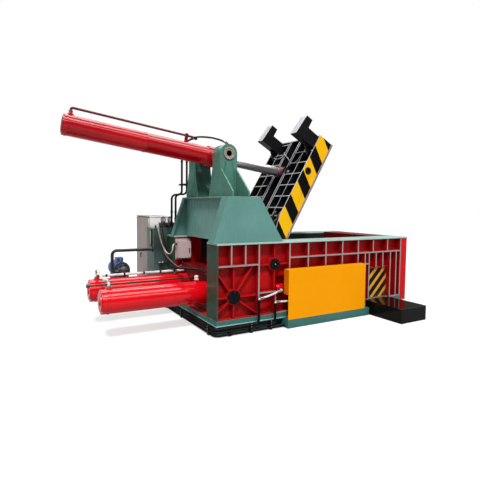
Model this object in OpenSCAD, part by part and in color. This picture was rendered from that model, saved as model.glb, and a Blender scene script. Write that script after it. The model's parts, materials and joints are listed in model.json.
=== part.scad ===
// Horizontal scrap metal baler: a press box with a hinged lid, two main cylinders,
// a lid cylinder on towers, a sliding discharge gate, a side push-out ram and a power unit.
// Lengths are in millimetres. +X points towards the discharge end, +Z up, and the
// front wall with the discharge gate faces -Y. The origin is on the floor under the
// middle of the press box.

/* [Press box] */
// Length of the bay that holds the main cylinders' mount and the parked ram
ram_bay_len = 1350; // [1340:10:1400]
// Length of the feed opening, from the parked ram to the bale space
feed_len = 2125; // [2100:5:2200]
// Length of the end post beyond the bale space
end_post_len = 337; // [320:1:400]
// Thickness of the end wall
end_wall_t = 178; // [150:1:220]
// Clear width of the chamber between the wear plates
chamber_w = 1610; // [1590:10:1700]
// Depth of a side wall, from the wear plate to the rib edges
wall_depth = 395; // [385:5:440]
// Height of the top rails above the floor
box_h = 1550; // [1530:10:1620]
// Height of the chamber floor above the ground
floor_h = 285; // [275:5:310]
// Thickness of the rib plates
rib_t = 28; // [20:1:36]
// Depth of the pockets between the ribs
rib_depth = 130; // [120:5:140]
// Thickness of the top rail plates
rail_t = 30; // [20:1:40]
// Thickness of the wear plates on the floor and the walls
liner_t = 18; // [12:1:24]

/* [Bale] */
// Length of the bale along the press box
bale_l = 600; // [580:5:620]
// Height of the bale
bale_h = 600; // [585:5:610]

/* [Base] */
// Thickness of the bed plate under the chamber
bed_t = 78; // [60:1:90]
// How far the edge flange stands out past the walls
bed_lip = 14; // [8:1:24]
// Inset of the skid beams behind the rib edges
skid_inset = 70; // [60:5:120]
// Width of a skid beam
skid_w = 220; // [180:10:260]
// Radius of the anchor bolt holes
anchor_r = 17; // [12:1:22]

/* [Lid] */
// Distance from the lid hinge to the lid tip
lid_len = 2760; // [2700:5:2770]
// Height of the hinge axis above the chamber floor
hinge_rise = 861; // [855:1:880]
// Distance from the hinge axis back to the parked ram face
hinge_back = 195; // [180:5:210]
// Angle between the open lid and the closed lid
lid_open = 60; // [50:1:60]
// Clearance between the lid and each side wall
lid_gap = 15; // [10:1:25]
// Radius of the hinge shaft
hinge_r = 80; // [60:1:85]
// Radius of the caps on the ends of the hinge shaft
hinge_cap_r = 102; // [95:1:115]
// Distance from the hinge to the lid cylinder's pin
lid_pin_reach = 1990; // [1900:5:2050]
// Thickness of the press plate
press_t = 42; // [30:1:50]
// Height of the lid's back edge above the hinge line
lid_back = 106; // [90:1:130]
// Height of the hooks above their landing
hook_h = 200; // [160:5:240]
// Width of a hook
hook_w = 200; // [180:5:260]

/* [Lid cylinder] */
// Height of the trunnion axis above the floor
trunnion_z = 3090; // [3060:5:3120]
// Distance from the left end of the press box to the trunnion axis
trunnion_x = 450; // [430:5:470]
// Outer radius of the lid cylinder's barrel
lid_barrel_r = 170; // [160:1:180]
// Length of the barrel behind the trunnion
lid_barrel_tail = 2600; // [2500:10:2700]
// Length of the barrel ahead of the trunnion
lid_barrel_nose = 290; // [280:5:360]
// Radius of the lid cylinder's rod
lid_rod_r = 93; // [80:1:100]
// Radius of the trunnion pins
trunnion_r = 84; // [75:1:90]

/* [Pedestal] */
// Height of the pedestal's top above the floor
hood_z = 2330; // [2300:5:2360]
// Length of the pedestal's top
hood_top_l = 615; // [600:5:660]
// Length of the pedestal's foot
hood_foot_l = 1360; // [1340:5:1400]
// Thickness of the pedestal's plates
hood_t = 28; // [20:1:36]
// Width of the flanges on the pedestal's sloping edges
hood_flange_w = 240; // [200:5:260]
// Width of a tower along the press box
tower_l = 336; // [320:2:350]
// Distance from the mid-plane to a tower's outer face
tower_out = 720; // [700:5:740]

/* [Main cylinders] */
// Outer radius of the main barrels
main_barrel_r = 198; // [185:1:205]
// Distance between the two main cylinders
main_pitch = 1000; // [960:10:1040]
// Height of the main cylinders above the chamber floor
main_rise = 349; // [340:1:360]
// Length of the barrels that stands out of the press box
main_tail = 1680; // [1600:10:1760]
// Radius of the main rods
main_rod_r = 110; // [95:1:120]
// Length of the main ram
ram_len = 550; // [500:10:560]
// Gap over the ram, under the closed lid
ram_gap = 10; // [6:1:16]

/* [Gate] */
// Thickness of the gate
gate_t = 120; // [100:5:125]
// Depth of the gate behind the rib edges
gate_recess = 100; // [95:5:110]
// How far the gate overlaps the outlet at each side
gate_lap = 40; // [30:1:45]
// Radius of the gate cylinder
gate_cyl_r = 85; // [70:1:90]

/* [Cover and table] */
// Distance that the cover stands out from the rib edges
cover_out = 148; // [140:1:180]
// Length of the cover
cover_l = 1880; // [1800:10:1900]
// Height of the cover
cover_h = 898; // [880:2:910]
// Length of the discharge table out from the wall
table_out = 788; // [700:4:900]
// Height of the table above the floor
table_h = 280; // [260:1:284]
// Thickness of the sheet of the cover
sheet_t = 6; // [4:1:10]

/* [Side ram] */
// Length of the side ram
side_ram_l = 480; // [440:10:520]
// Outer radius of the side cylinder
side_barrel_r = 130; // [110:1:140]
// Radius of the side rod
side_rod_r = 70; // [55:1:80]

/* [Power unit] */
// Length of the oil tank
tank_l = 1500; // [1400:20:1600]
// Width of the oil tank
tank_w = 500; // [460:10:520]
// Height of the tank's top above the top rails
tank_rise = 130; // [90:10:150]
// Width of the control cabinet
cabinet_w = 1000; // [900:10:1100]
// Depth of the control cabinet
cabinet_d = 450; // [400:10:500]
// Height of the control cabinet
cabinet_h = 1900; // [1800:10:2000]
// Radius of the motor's housing
motor_r = 170; // [150:1:180]
// Outer radius of the pressure pipes
pipe_r = 21; // [16:1:24]

/* [Hidden] */
$fn = 64;
fit = 0.08;
seat = 0.3;
box_len = ram_bay_len + feed_len + bale_l + end_post_len + end_wall_t;
box_w = chamber_w + 2 * wall_depth;
x_left = -box_len / 2;
x_ram_face = x_left + ram_bay_len;
x_bale = x_ram_face + feed_len;
x_post = x_bale + bale_l;
x_end = x_post + end_post_len;
x_right = box_len / 2;
y_front = -box_w / 2;
y_in = chamber_w / 2;
bed_z = floor_h - liner_t;
bale_z = floor_h + bale_h;
rail_z = box_h - rail_t;
lip_z = bed_z - bed_t;
lip_t = 20;
wall_bay = ram_bay_len + 106;
wall_pitch = (feed_len + bale_l + end_post_len - 106) / 7;

hinge_x = x_ram_face - hinge_back;
hinge_z = floor_h + hinge_rise;
press_drop = hinge_rise - bale_h;
lid_half = y_in - lid_gap;
lid_side_t = 25;
lid_corner = sqrt(pow(lid_len, 2) + pow(press_drop, 2));
block_x = hinge_x + lid_corner + 12;
pin_x = hinge_x + lid_pin_reach * cos(lid_open);
pin_z = hinge_z + lid_pin_reach * sin(lid_open);
tr_x = x_left + trunnion_x;
cyl_reach = sqrt(pow(pin_x - tr_x, 2) + pow(pin_z - trunnion_z, 2));
cyl_slope = atan2(trunnion_z - pin_z, pin_x - tr_x);
knee_t = 920;
knee_h = lid_back + 24;
eye_r = 150;
eye_pin_r = 55;
rod_eye_r = 132;
eye_half = 95;
open_pivot_gap = 66;
channel_half = 132;
channel_rib_t = 26;
pin_half = channel_half + 58 + channel_rib_t - 3;
bay_rib_t = 18;
rib_pitch_lid = (lid_len - 1188) / 6;
hook_t0 = lid_len - 292;
hook_t1 = lid_len - 38;
hook_tip = lid_len + 145;
hook_z0 = box_h - hinge_z + 2;
hook_front_y = lid_half - lid_side_t - hook_w;
hook_rear_y = lid_half - 325;

main_z = floor_h + main_rise;
cradle_x = x_left + 336;
cradle_l = 400;
cradle_t = 45;
ram_h = bale_h - ram_gap;
ram_w = chamber_w - 10;
main_nose = 760;
main_bore_r = main_barrel_r - 38;
main_cap = 100;
piston_t = 100;
travel_rod_z = floor_h + 528;
travel_rod_r = 13;

gate_y = y_front + gate_recess;
gate_z0 = floor_h + seat;
gate_z1 = bale_z + 18;
guide_t = 17;
gate_l = bale_l + 2 * gate_lap;
gate_travel = gate_l - gate_lap + 5;
gate_gap = 5;
gate_cyl_z = floor_h + 395;
gate_axis_y = gate_y + gate_t / 2;
gate_bay_x = x_left + 1210;
gate_bay_top = floor_h + 735;
gate_cyl_l = 1350;
gate_rod_r = 36;
gate_tail_x = gate_bay_x + 25;

side_z = floor_h + bale_h / 2;
side_x = x_bale + bale_l / 2;
side_stop = gate_y + gate_t + 15;
side_stroke = y_in - side_stop;
side_head_y = box_w / 2 + 210;
side_barrel_l = side_stroke + 330;

cover_x0 = x_left + 1334;
cover_z0 = floor_h - 129;
beam_x1 = x_left + 3345;
table_x0 = x_left + 3368;
table_x1 = x_post - 5;

hood_x0 = x_left + 200;
hood_foot_x0 = x_left - 60;
hood_back_y = y_in + 55;
gusset_top = hood_z + 490;
gusset_foot = hood_z + 90;
pipe_bar_z = hood_z + 270;

tank_x0 = x_left - 270;
tank_y0 = box_w / 2 + 60;
tank_z0 = 240;
tank_z = box_h + tank_rise;
cab_x0 = x_left - 205;
cab_y0 = tank_y0 + tank_w + 12 + seat;
motor_x = x_left - 860;
motor_z = 800;
motor_y0 = box_w / 2 + 380;
skid_h = 560;
door_t = 24;
latch_z = 1050;
jb_x0 = x_left + rib_t + 14;
jb_w = 270;
jb_h = 340;
jb_z0 = box_h - 445;
jb_depth = 120;

// A plate of thickness w along Y, from an outline drawn in X and Z
module along_y(y0, w) {
  translate([0, y0 + w, 0]) rotate([90, 0, 0]) linear_extrude(w) children();
}

// A prism of length l along X, from an outline drawn in Y and Z
module along_x(x0, l) {
  translate([x0, 0, 0]) rotate([90, 0, 90]) linear_extrude(l) children();
}

// A box given by its lowest corner and its highest corner
module span(a, b) {
  translate(a) cube(b - a);
}

// A round bar along Y
module bar_y(x, z, r, y0, y1) {
  translate([x, y1, z]) rotate([90, 0, 0]) cylinder(r = r, h = y1 - y0);
}

// A round bar along X
module bar_x(y, z, r, x0, x1) {
  translate([x0, y, z]) rotate([0, 90, 0]) cylinder(r = r, h = x1 - x0);
}

// The same shape on both sides of the mid-plane
module both_sides() {
  children();
  mirror([0, 1, 0]) children();
}

// Places what is drawn in the closed lid's own frame: X along the lid, Z away from the chamber
module on_lid() {
  translate([hinge_x, 0, hinge_z]) rotate([0, -lid_open, 0]) children();
}

// Places what is drawn along the lid cylinder's own axis
module on_lid_cylinder() {
  translate([tr_x, 0, trunnion_z]) rotate([0, cyl_slope, 0]) children();
}

// Unit vector along v
function unit(v) = v / norm(v);

// Angle that a route turns through at its point i
function turn(p, i) = acos(min(1, unit(p[i] - p[i - 1]) * unit(p[i + 1] - p[i])));

// How far before point i of a route its bend begins, for a bend radius that still fits
function lead(p, i, bend) =
  i == 0 || i == len(p) - 1 || turn(p, i) < 1 ? 0 :
  min(bend * tan(turn(p, i) / 2), 0.48 * norm(p[i] - p[i - 1]), 0.48 * norm(p[i + 1] - p[i]));

// A straight length of round pipe between two points
module straight(a, b, r) {
  d = b - a;
  run = norm(d);
  translate(a) rotate([0, acos(d[2] / run), atan2(d[1], d[0])]) cylinder(r = r, h = run, $fn = 24);
}

// A bend of round pipe at point i of a route, from its lead before the point to its lead after it
module elbow(p, i, e, r) {
  a = unit(p[i] - p[i - 1]);
  b = unit(p[i + 1] - p[i]);
  inward = unit(b - a * (a * b));
  bend = e / tan(turn(p, i) / 2);
  axis = cross(a, inward);
  c = p[i] - a * e + inward * bend;
  multmatrix([for (k = [0 : 2]) [-inward[k], a[k], axis[k], c[k]]])
    rotate_extrude(angle = turn(p, i), $fn = 48) translate([bend, 0]) circle(r = r, $fn = 24);
}

// A round pipe along a route of points, bent at each of them
module pipe(points, r, bend = 90) {
  leads = [for (i = [0 : len(points) - 1]) lead(points, i, bend)];
  for (i = [0 : len(points) - 2]) {
    d = unit(points[i + 1] - points[i]);
    straight(points[i] + d * leads[i], points[i + 1] - d * leads[i + 1], r);
    if (leads[i] > 0) elbow(points, i, leads[i], r);
  }
}

// v turned by the rotation that takes the unit vector a to the unit vector b
function turned(v, a, b) =
  let (c = cross(a, b), k = a * b) v * k + cross(c, v) + c * ((c * v) / (1 + k));

// A side vector for each run of a route with the directions d, carried along without twist
function sides_of(d, side, i = 0) =
  i == len(d) - 1 ? [side] : concat([side], sides_of(d, turned(side, d[i], d[i + 1]), i + 1));

// Three points that ease a route round its corner i
function corner(p, i, ease) =
  let (a = p[i - 1] - p[i], b = p[i + 1] - p[i], e = min(ease, 0.46 * norm(a), 0.46 * norm(b)))
    let (u = p[i] + unit(a) * e, w = p[i] + unit(b) * e) [u, (u + 2 * p[i] + w) / 4, w];

// A smooth hose of radius r along a route of points, swept as rings of n points
module hose(route, r, ease = 400, n = 10) {
  p = concat([route[0]], [for (i = [1 : len(route) - 2]) each corner(route, i, ease)], [route[len(route) - 1]]);
  m = len(p);
  d = [for (i = [0 : m - 2]) unit(p[i + 1] - p[i])];
  side = sides_of(d, unit(cross(d[0], abs(d[0][2]) > 0.9 ? [1, 0, 0] : [0, 0, 1])));
  points = [for (i = [0 : m - 1]) for (k = [0 : n - 1])
    let (j = max(i - 1, 0), g = i == m - 1 ? d[j] : unit(d[j] + d[i]))
      let (q = r * (cos(360 * k / n) * side[j] + sin(360 * k / n) * cross(d[j], side[j])))
        p[i] + q - d[j] * ((q * g) / (d[j] * g))];
  walls = [for (i = [0 : m - 2]) for (k = [0 : n - 1])
    [i * n + k, (i + 1) * n + k, (i + 1) * n + (k + 1) % n, i * n + (k + 1) % n]];
  polyhedron(points, concat(walls, [[for (k = [0 : n - 1]) k], [for (k = [n - 1 : -1 : 0]) (m - 1) * n + k]]));
}

// Welded base: bed plate with an edge flange, skid beams and the step-out beam under the cover
module base_frame() {
  color("#3f7f6e") difference() {
    union() {
      span([x_left, y_front, lip_z], [x_right, -y_front, bed_z]);
      span([x_left - bed_lip, y_front - bed_lip, lip_z - lip_t], [x_right, -y_front + bed_lip, lip_z]);
      both_sides() skid_beam();
      for (x = [x_left + 60, hinge_x - 300, -80, x_bale - 400, x_right - 260])
        span([x, y_front + skid_inset + skid_w / 2, 0], [x + 160, -y_front - skid_inset - skid_w / 2, lip_z - lip_t]);
      span([cover_x0, y_front - cover_out, 0], [beam_x1, y_front + skid_inset, cover_z0]);
    }
    for (x = [x_left + 120, x_right - 120]) for (s = [-1, 1])
      translate([x, s * (box_w / 2 - skid_inset - 60), -1]) cylinder(r = anchor_r, h = 60);
  }
}

// A skid beam of channel section along the whole press box
module skid_beam() {
  y0 = y_front + skid_inset;
  span([x_left, y0, 0], [x_right, y0 + skid_w, 26]);
  span([x_left, y0 + 90, 0], [x_right, y0 + 130, lip_z - lip_t]);
}

module floor_liner() {
  color("#8b8680")
    span([x_left + 560, -y_in, bed_z], [x_post, y_in, floor_h]);
}

// Wear plates on the inner faces of the walls, open at the outlet and at the side ram
module wall_liners() {
  y1 = y_in + liner_t;
  color("#8b8680") for (s = [-1, 1]) {
    lo = s < 0 ? -y1 : y_in;
    hi = s < 0 ? -y_in : y1;
    span([x_left + 600, lo, floor_h], [x_bale, hi, bale_z + 18]);
    difference() {
      span([x_left + 600, lo, bale_z + 18], [block_x, hi, rail_z]);
      bar_y(hinge_x, hinge_z, hinge_r, -y1 - 1, y1 + 1);
    }
  }
  color("#8b8680") span([x_post - liner_t, side_stop - 10, floor_h], [x_post, y_in, bale_z]);
}

// Upright plates that close the left ends of the side walls
module corner_posts() {
  color("#356a5c") both_sides()
    span([x_left, y_front, bed_z], [x_left + rib_t, -y_in, rail_z]);
}

// An upright rib, by the distance of its middle from the left end of the press box
module upright(x, z0, z1, depth, set_back = 0) {
  span([x_left + x - rib_t / 2, y_front + set_back, z0],
       [x_left + x + rib_t / 2, y_front + depth, z1]);
}

// A level rib between two distances from the left end
module level(xa, xb, z, depth, set_back = 0) {
  span([x_left + xa, y_front + set_back, z - rib_t / 2],
       [x_left + xb, y_front + depth, z + rib_t / 2]);
}

// Ribs round the hub of a main cylinder's cross pin
module hub_ribs() {
  set_back = 40;
  intersection() {
    span([x_left + rib_t, y_front + set_back, bed_z], [x_left + 806, y_front + rib_depth, 1167]);
    translate([cradle_x, y_front + rib_depth, main_z]) rotate([90, 0, 0]) {
      for (a = [0, 90, 180, 270, 54, 126, 218, 325])
        rotate(a) translate([0, -rib_t / 2, 0]) cube([1100, rib_t, rib_depth - set_back]);
      cylinder(r = 135, h = rib_depth - set_back);
    }
  }
}

// The ribs that both side walls share
module wall_ribs() {
  bay = wall_bay;
  pitch = wall_pitch;
  mid_z = floor_h + 968;
  left_z = 1167;
  hinge_bay = 806;
  for (k = [1, 2]) upright(k * hinge_bay / 3, left_z, rail_z, rib_depth);
  level(rib_t, hinge_bay, left_z, rib_depth);
  upright(hinge_bay, bed_z, rail_z, rib_depth);
  hub_ribs();
  hinge_at = hinge_x - x_left;
  upright(hinge_at, 665, rail_z, rib_depth, 45);
  level(hinge_bay, bay, hinge_z, rib_depth, 45);
  translate([hinge_x, y_front + rib_depth, hinge_z]) rotate([90, 0, 0])
    cylinder(r = hinge_cap_r + 18, h = rib_depth - 45);
  level(hinge_bay, hinge_at + rib_t / 2, 665, rib_depth);
  upright(hinge_at, bed_z, 665, rib_depth);
  for (k = [0 : 4]) upright(bay + k * pitch, gate_bay_top, rail_z, rib_depth);
  for (k = [5, 6]) upright(bay + k * pitch, mid_z, rail_z, rib_depth);
  upright(bay + 7 * pitch - rib_t / 2, bed_z, rail_z, rib_depth);
  level(bay, x_end - x_left, mid_z, rib_depth);
  level(bay, x_bale - x_left, gate_bay_top, rib_depth);
  level(hinge_at, x_end - x_left, bed_z + rib_t / 2, rib_depth);
  left_post = x_bale - x_left - rib_t / 2;
  right_post = x_post - x_left + rib_t / 2;
  for (x = [left_post - 114, left_post, right_post, right_post + 180])
    upright(x, bed_z, mid_z, rib_depth);
  for (k = [1, 2]) upright(left_post + k * bale_l / 3, bale_z + 45, mid_z, rib_depth);
  level(left_post, right_post, bale_z + 45, rib_depth, 62);
}

// The thick box plate of a side wall, between the ribs and the wear plates
module wall_box() {
  span([x_left + rib_t, y_front + rib_depth, bed_z], [x_end, -y_in - liner_t, rail_z]);
}

// The outlet through a side wall
module outlet() {
  span([x_bale, y_front - 1, floor_h], [x_post, -y_in - liner_t + 1, bale_z]);
}

module front_wall() {
  color("#c3121b") difference() {
    union() {
      wall_box();
      wall_ribs();
    }
    outlet();
    span([gate_bay_x, gate_y - gate_gap, bed_z],
         [x_post + gate_lap + gate_gap, gate_y + gate_t + gate_gap, gate_z1 + seat + guide_t]);
    span([gate_bay_x, gate_axis_y - gate_cyl_r - 12, gate_cyl_z - gate_cyl_r - 12],
         [x_bale - gate_lap - gate_travel, gate_axis_y + gate_cyl_r + 12, gate_cyl_z + gate_cyl_r + 12]);
    span([x_left + 1242, y_front - 1, bed_z + rib_t], [x_bale - 142, y_front + rib_depth - 1, gate_bay_top - rib_t / 2]);
    span([x_bale + rib_t / 2 - 1, y_front - 1, bed_z], [x_post - rib_t / 2 + 1, gate_y, floor_h + 1]);
    bar_y(cradle_x, main_z, 82, y_front - 1, -y_in);
    bar_y(hinge_x, hinge_z, hinge_r, y_front - 1, -y_in);
  }
}

module rear_wall() {
  color("#c3121b") mirror([0, 1, 0]) difference() {
    union() {
      wall_box();
      wall_ribs();
      for (k = [0 : 4]) upright(wall_bay + k * wall_pitch, bed_z, gate_bay_top, rib_depth);
    }
    outlet();
    bar_y(cradle_x, main_z, 82, y_front - 1, -y_in);
    bar_y(hinge_x, hinge_z, hinge_r, y_front - 1, -y_in);
  }
}

// End wall with its outer ribs
module end_wall() {
  plate = end_wall_t - 98;
  color("#c3121b") {
    span([x_end, y_front, bed_z], [x_end + plate, -y_front, rail_z]);
    for (k = [0 : 6])
      translate([x_end + plate, y_front + k * (box_w - rib_t) / 6, bed_z])
        cube([end_wall_t - plate, rib_t, rail_z - bed_z]);
    for (z = [bed_z, 650, 1060, rail_z - rib_t])
      span([x_end + plate, y_front, z], [x_right, -y_front, z + rib_t]);
  }
}

// Block between the side walls that closes the bale space and carries the hooks' landing
module end_block() {
  color("#a8131a") along_y(-y_in, 2 * y_in) polygon([
    [x_post, bed_z], [x_end, bed_z], [x_end, box_h], [block_x, box_h], [block_x, bale_z], [x_post, bale_z]
  ]);
}

// Pale rail plates on the walls and round the end
module top_rails() {
  color("#a9c3b8") {
    both_sides()
      span([x_left, y_front - bed_lip, rail_z], [x_right, -y_in, box_h]);
    span([x_end, -y_in, rail_z], [x_right, y_in, box_h]);
  }
}

// Deck over the parked ram and the noses of the main cylinders
module ram_bay_deck() {
  color("#7a1a1c") {
    span([x_left + 600, -y_in, bale_z + 12], [x_ram_face - 5, y_in, bale_z + 40]);
    span([x_left + 600, -y_in, bale_z + 40], [x_left + 630, y_in, hinge_z - 60]);
    for (y = [-500, 0, 500])
      span([x_left + 630, y - 12, bale_z + 40], [hinge_x - eye_r - 40, y + 12, bale_z + 90]);
  }
}

// Cross frame that holds the two main barrels, with a web between them
module cylinder_cradle() {
  x0 = cradle_x - cradle_l / 2;
  x1 = cradle_x + cradle_l / 2;
  color("#a8131a") difference() {
    union() {
      for (x = [x0, x1 - cradle_t])
        span([x, -y_in - liner_t, bed_z], [x + cradle_t, y_in + liner_t, main_z + 330]);
      for (y = [-60, 40]) span([x0, y, bed_z], [x1, y + 20, main_z + 330]);
      span([x0, -y_in - liner_t, main_z + 330], [x1, y_in + liner_t, main_z + 330 + cradle_t]);
    }
    for (s = [-1, 1]) bar_x(s * main_pitch / 2, main_z, main_barrel_r + seat, x0 - 1, x1 + 1);
    bar_x(0, travel_rod_z, 40, x0 - 1, x1 + 1);
  }
}

// Cross pins that lock the main barrels to the walls, with their round caps
module cross_pins() {
  color("#1b1b1d") both_sides() {
    bar_y(cradle_x, main_z, 118, y_front + 14, y_front + 40);
    bar_y(cradle_x, main_z, 82 - fit, y_front + 40, -main_pitch / 2 - main_barrel_r - 1);
  }
}

// One main barrel with its rear cap, nose ring, port blocks and side bosses
module main_barrel(y) {
  x0 = x_left - main_tail;
  x1 = x_left + main_nose;
  difference() {
    union() {
      bar_x(y, main_z, main_barrel_r, x0, x1);
      for (x = [x_left - 60, x0 + 130])
        span([x - 40, y - 40, main_z], [x + 40, y + 40, main_z + main_barrel_r + 30]);
      bar_x(y, main_z, main_barrel_r - 45, x0 - 16, x0);
    }
    bar_x(y, main_z, main_bore_r, x0 + main_cap, x1 - 90);
    bar_x(y, main_z, main_rod_r + seat, x1 - 91, x1 + 1);
  }
}

module main_barrels() {
  color("#e3141c") for (s = [-1, 1]) main_barrel(s * main_pitch / 2);
}

// Two rods with their pistons, which push the ram
module main_rods() {
  x0 = x_left - main_tail + main_cap + 20;
  color("#d4d6d8") for (s = [-1, 1]) {
    bar_x(s * main_pitch / 2, main_z, main_rod_r, x0, x_ram_face - 60);
    bar_x(s * main_pitch / 2, main_z, main_bore_r - seat, x0, x0 + piston_t);
  }
}

// Welded ram box, open at its back where the rods come in
module main_ram() {
  z0 = floor_h + seat;
  x0 = x_ram_face - ram_len;
  color("#9c1a1f") difference() {
    span([x0, -ram_w / 2, z0], [x_ram_face - 30, ram_w / 2, z0 + ram_h]);
    for (s = [-1, 1]) {
      span([x0 - 1, s < 0 ? -ram_w / 2 + 45 : 30, z0 + 45],
           [x_ram_face - 90, s < 0 ? -30 : ram_w / 2 - 45, z0 + ram_h - 45]);
      bar_x(s * main_pitch / 2, main_z, main_rod_r, x_ram_face - 91, x_ram_face - 60);
    }
  }
}

module ram_face() {
  z0 = floor_h + seat;
  color("#8b8680") difference() {
    span([x_ram_face - 30, -ram_w / 2, z0], [x_ram_face, ram_w / 2, z0 + ram_h]);
    for (y = [-640 : 320 : 640]) for (z = [z0 + 110, z0 + ram_h - 110])
      bar_x(y, z, 20, x_ram_face - 8, x_ram_face + 1);
  }
}

// Rod that shows how far the ram has travelled
module travel_rod() {
  x0 = x_left - main_tail - 130;
  color("#2a2a2c") {
    bar_x(0, travel_rod_z, travel_rod_r, x0 + 60, x_ram_face - ram_len);
    bar_x(0, travel_rod_z, 30, x0, x0 + 60);
  }
}

// One cheek of the pedestal: a trapezoid plate with flanges on its sloping edges
module cheek(y0, y1, t) {
  outline = [
    [hood_foot_x0, box_h], [hood_foot_x0 + hood_foot_l, box_h],
    [hood_x0 + hood_top_l, hood_z], [hood_x0, hood_z]
  ];
  inner = [
    [hood_foot_x0 + hood_t * 1.4, box_h - 1], [hood_foot_x0 + hood_foot_l - hood_t * 1.6, box_h - 1],
    [hood_x0 + hood_top_l - hood_t * 1.6, hood_z + 1], [hood_x0 + hood_t * 1.4, hood_z + 1]
  ];
  along_y(t < 0 ? y1 + t : y0, abs(t)) polygon(outline);
  along_y(y0, y1 - y0) difference() {
    polygon(outline);
    polygon(inner);
  }
}

// Pedestal between the side walls and the towers
module pedestal() {
  color("#4f9a86") {
    cheek(y_front, y_front + hood_flange_w, hood_t);
    cheek(hood_back_y - hood_flange_w * 0.35, hood_back_y, -hood_t);
    span([x_left + 270, y_front + hood_t, box_h], [x_left + 270 + hood_t, hood_back_y - hood_t, hood_z - hood_t]);
    span([x_left + 745, y_front + hood_t, box_h], [x_left + 745 + hood_t, hood_back_y - hood_t, hood_z - hood_t]);
    span([hood_x0, y_front + hood_t, hood_z - hood_t], [hood_x0 + hood_top_l, hood_back_y - hood_t, hood_z]);
    for (y = [-tower_out, -300, 300, tower_out - hood_t])
      span([x_left + 270 + hood_t, y, box_h], [x_left + 745, y + hood_t, hood_z - hood_t]);
  }
}

// A tower, straight on its outer face and leaning outwards inside, with a round top
module tower() {
  half = tower_l / 2 - 2;
  inner_top = tower_out - 320;
  inner_foot = tower_out - 470;
  color("#58a38e") difference() {
    intersection() {
      along_y(-tower_out, 520) union() {
        polygon([
          [tr_x - tower_l / 2, hood_z], [tr_x + tower_l / 2, hood_z],
          [tr_x + half, trunnion_z], [tr_x - half, trunnion_z]
        ]);
        translate([tr_x, trunnion_z]) circle(r = half);
      }
      along_x(tr_x - 400, 800) polygon([
        [-tower_out, hood_z], [-tower_out, trunnion_z + 300], [-inner_top, trunnion_z + 300],
        [-inner_top, trunnion_z - 210], [-inner_foot, hood_z]
      ]);
    }
    bar_y(tr_x, trunnion_z, trunnion_r + 12, -tower_out - 1, -inner_top + 1);
  }
}

module front_tower() {
  tower();
}

module rear_tower() {
  mirror([0, 1, 0]) tower();
}

// How far a rear gusset reaches out from the mid-plane at the height z
function gusset_edge(z) =
  hood_back_y - 10 + (tower_out + 20 - hood_back_y) * (z - gusset_foot) / (gusset_top - gusset_foot);

// Triangular plates that brace the towers across the pedestal
module tower_gussets() {
  reach_front = box_w / 2 - tower_out - 20;
  reach_rear = hood_back_y - tower_out - 10;
  color("#4f9a86") {
    for (x = [tr_x - tower_l / 2, tr_x + tower_l / 2 - hood_t]) {
      along_x(x, hood_t) polygon([
        [-tower_out, hood_z], [-tower_out - reach_front, hood_z], [-tower_out - reach_front, gusset_foot],
        [-tower_out - 10, gusset_top], [-tower_out, gusset_top]
      ]);
      along_x(x, hood_t) polygon([
        [tower_out, hood_z], [tower_out + reach_rear, hood_z], [tower_out + reach_rear, gusset_foot],
        [tower_out + 10, gusset_top], [tower_out, gusset_top]
      ]);
    }
  }
}

// Flanged bushes in the towers
module trunnion_bushes() {
  color("#9a8f88") both_sides() difference() {
    union() {
      bar_y(tr_x, trunnion_z, trunnion_r + 12, -tower_out, -tower_out + 320);
      bar_y(tr_x, trunnion_z, trunnion_r + 24, -tower_out - 22, -tower_out);
    }
    bar_y(tr_x, trunnion_z, trunnion_r, -tower_out - 23, -tower_out + 321);
  }
}

// Barrel of the lid cylinder with its collar, trunnion pins, rear cap and oil pipe
module lid_barrel() {
  tail = -lid_barrel_tail;
  pipe_w = lid_barrel_r + 118;
  color("#c8161f") on_lid_cylinder() difference() {
    union() {
      bar_x(0, 0, lid_barrel_r, tail, lid_barrel_nose);
      bar_x(0, 0, lid_barrel_r + 22, -110, 110);
      bar_x(0, 0, lid_barrel_r - 40, tail - 14, tail);
      both_sides() {
        bar_y(0, 0, trunnion_r - fit, -tower_out - 12, -lid_barrel_r + 30);
        bar_y(0, 0, trunnion_r + 20, -tower_out + 330, -lid_barrel_r + 30);
      }
      translate([tail + 95, 0, 0]) cylinder(r = 30, h = lid_barrel_r + 70);
      pipe([[tail + 95, 0, lid_barrel_r + 60], [tail + 95, 0, pipe_w], [-425, 0, pipe_w]], pipe_r);
      span([-570, -22, lid_barrel_r - 20], [-520, 22, pipe_w + 34]);
      for (x = [tail + 30, -1300]) bar_x(0, 0, lid_barrel_r + 6, x, x + 30);
    }
    bar_x(0, 0, lid_barrel_r - 35, tail + 100, lid_barrel_nose + 1);
    both_sides() bar_y(0, 0, 52, -tower_out - 13, -lid_barrel_r - 90);
  }
}

// Gland ring in the nose of the lid cylinder, with the front oil port
module lid_gland() {
  color("#8f1a1f") on_lid_cylinder() difference() {
    union() {
      bar_x(0, 0, lid_barrel_r + 16, lid_barrel_nose, lid_barrel_nose + 60);
      bar_x(0, 0, lid_barrel_r - 35, lid_barrel_nose - 110, lid_barrel_nose);
      translate([lid_barrel_nose + 30, 0, 0]) cylinder(r = 26, h = lid_barrel_r + 60);
      for (a = [0 : 45 : 315])
        rotate([a + 22.5, 0, 0]) translate([lid_barrel_nose + 50, 0, lid_barrel_r - 20])
          rotate([0, 90, 0]) cylinder(r = 17, h = 32, $fn = 6);
    }
    bar_x(0, 0, lid_rod_r + seat, lid_barrel_nose - 111, lid_barrel_nose + 61);
  }
}

// Rod and piston of the lid cylinder
module lid_rod() {
  back = -lid_barrel_tail + 130;
  color("#c9ccd0") on_lid_cylinder() {
    bar_x(0, 0, lid_rod_r, back, cyl_reach - rod_eye_r + 20);
    bar_x(0, 0, lid_barrel_r - 35 - seat, back, back + 120);
  }
}

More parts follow.
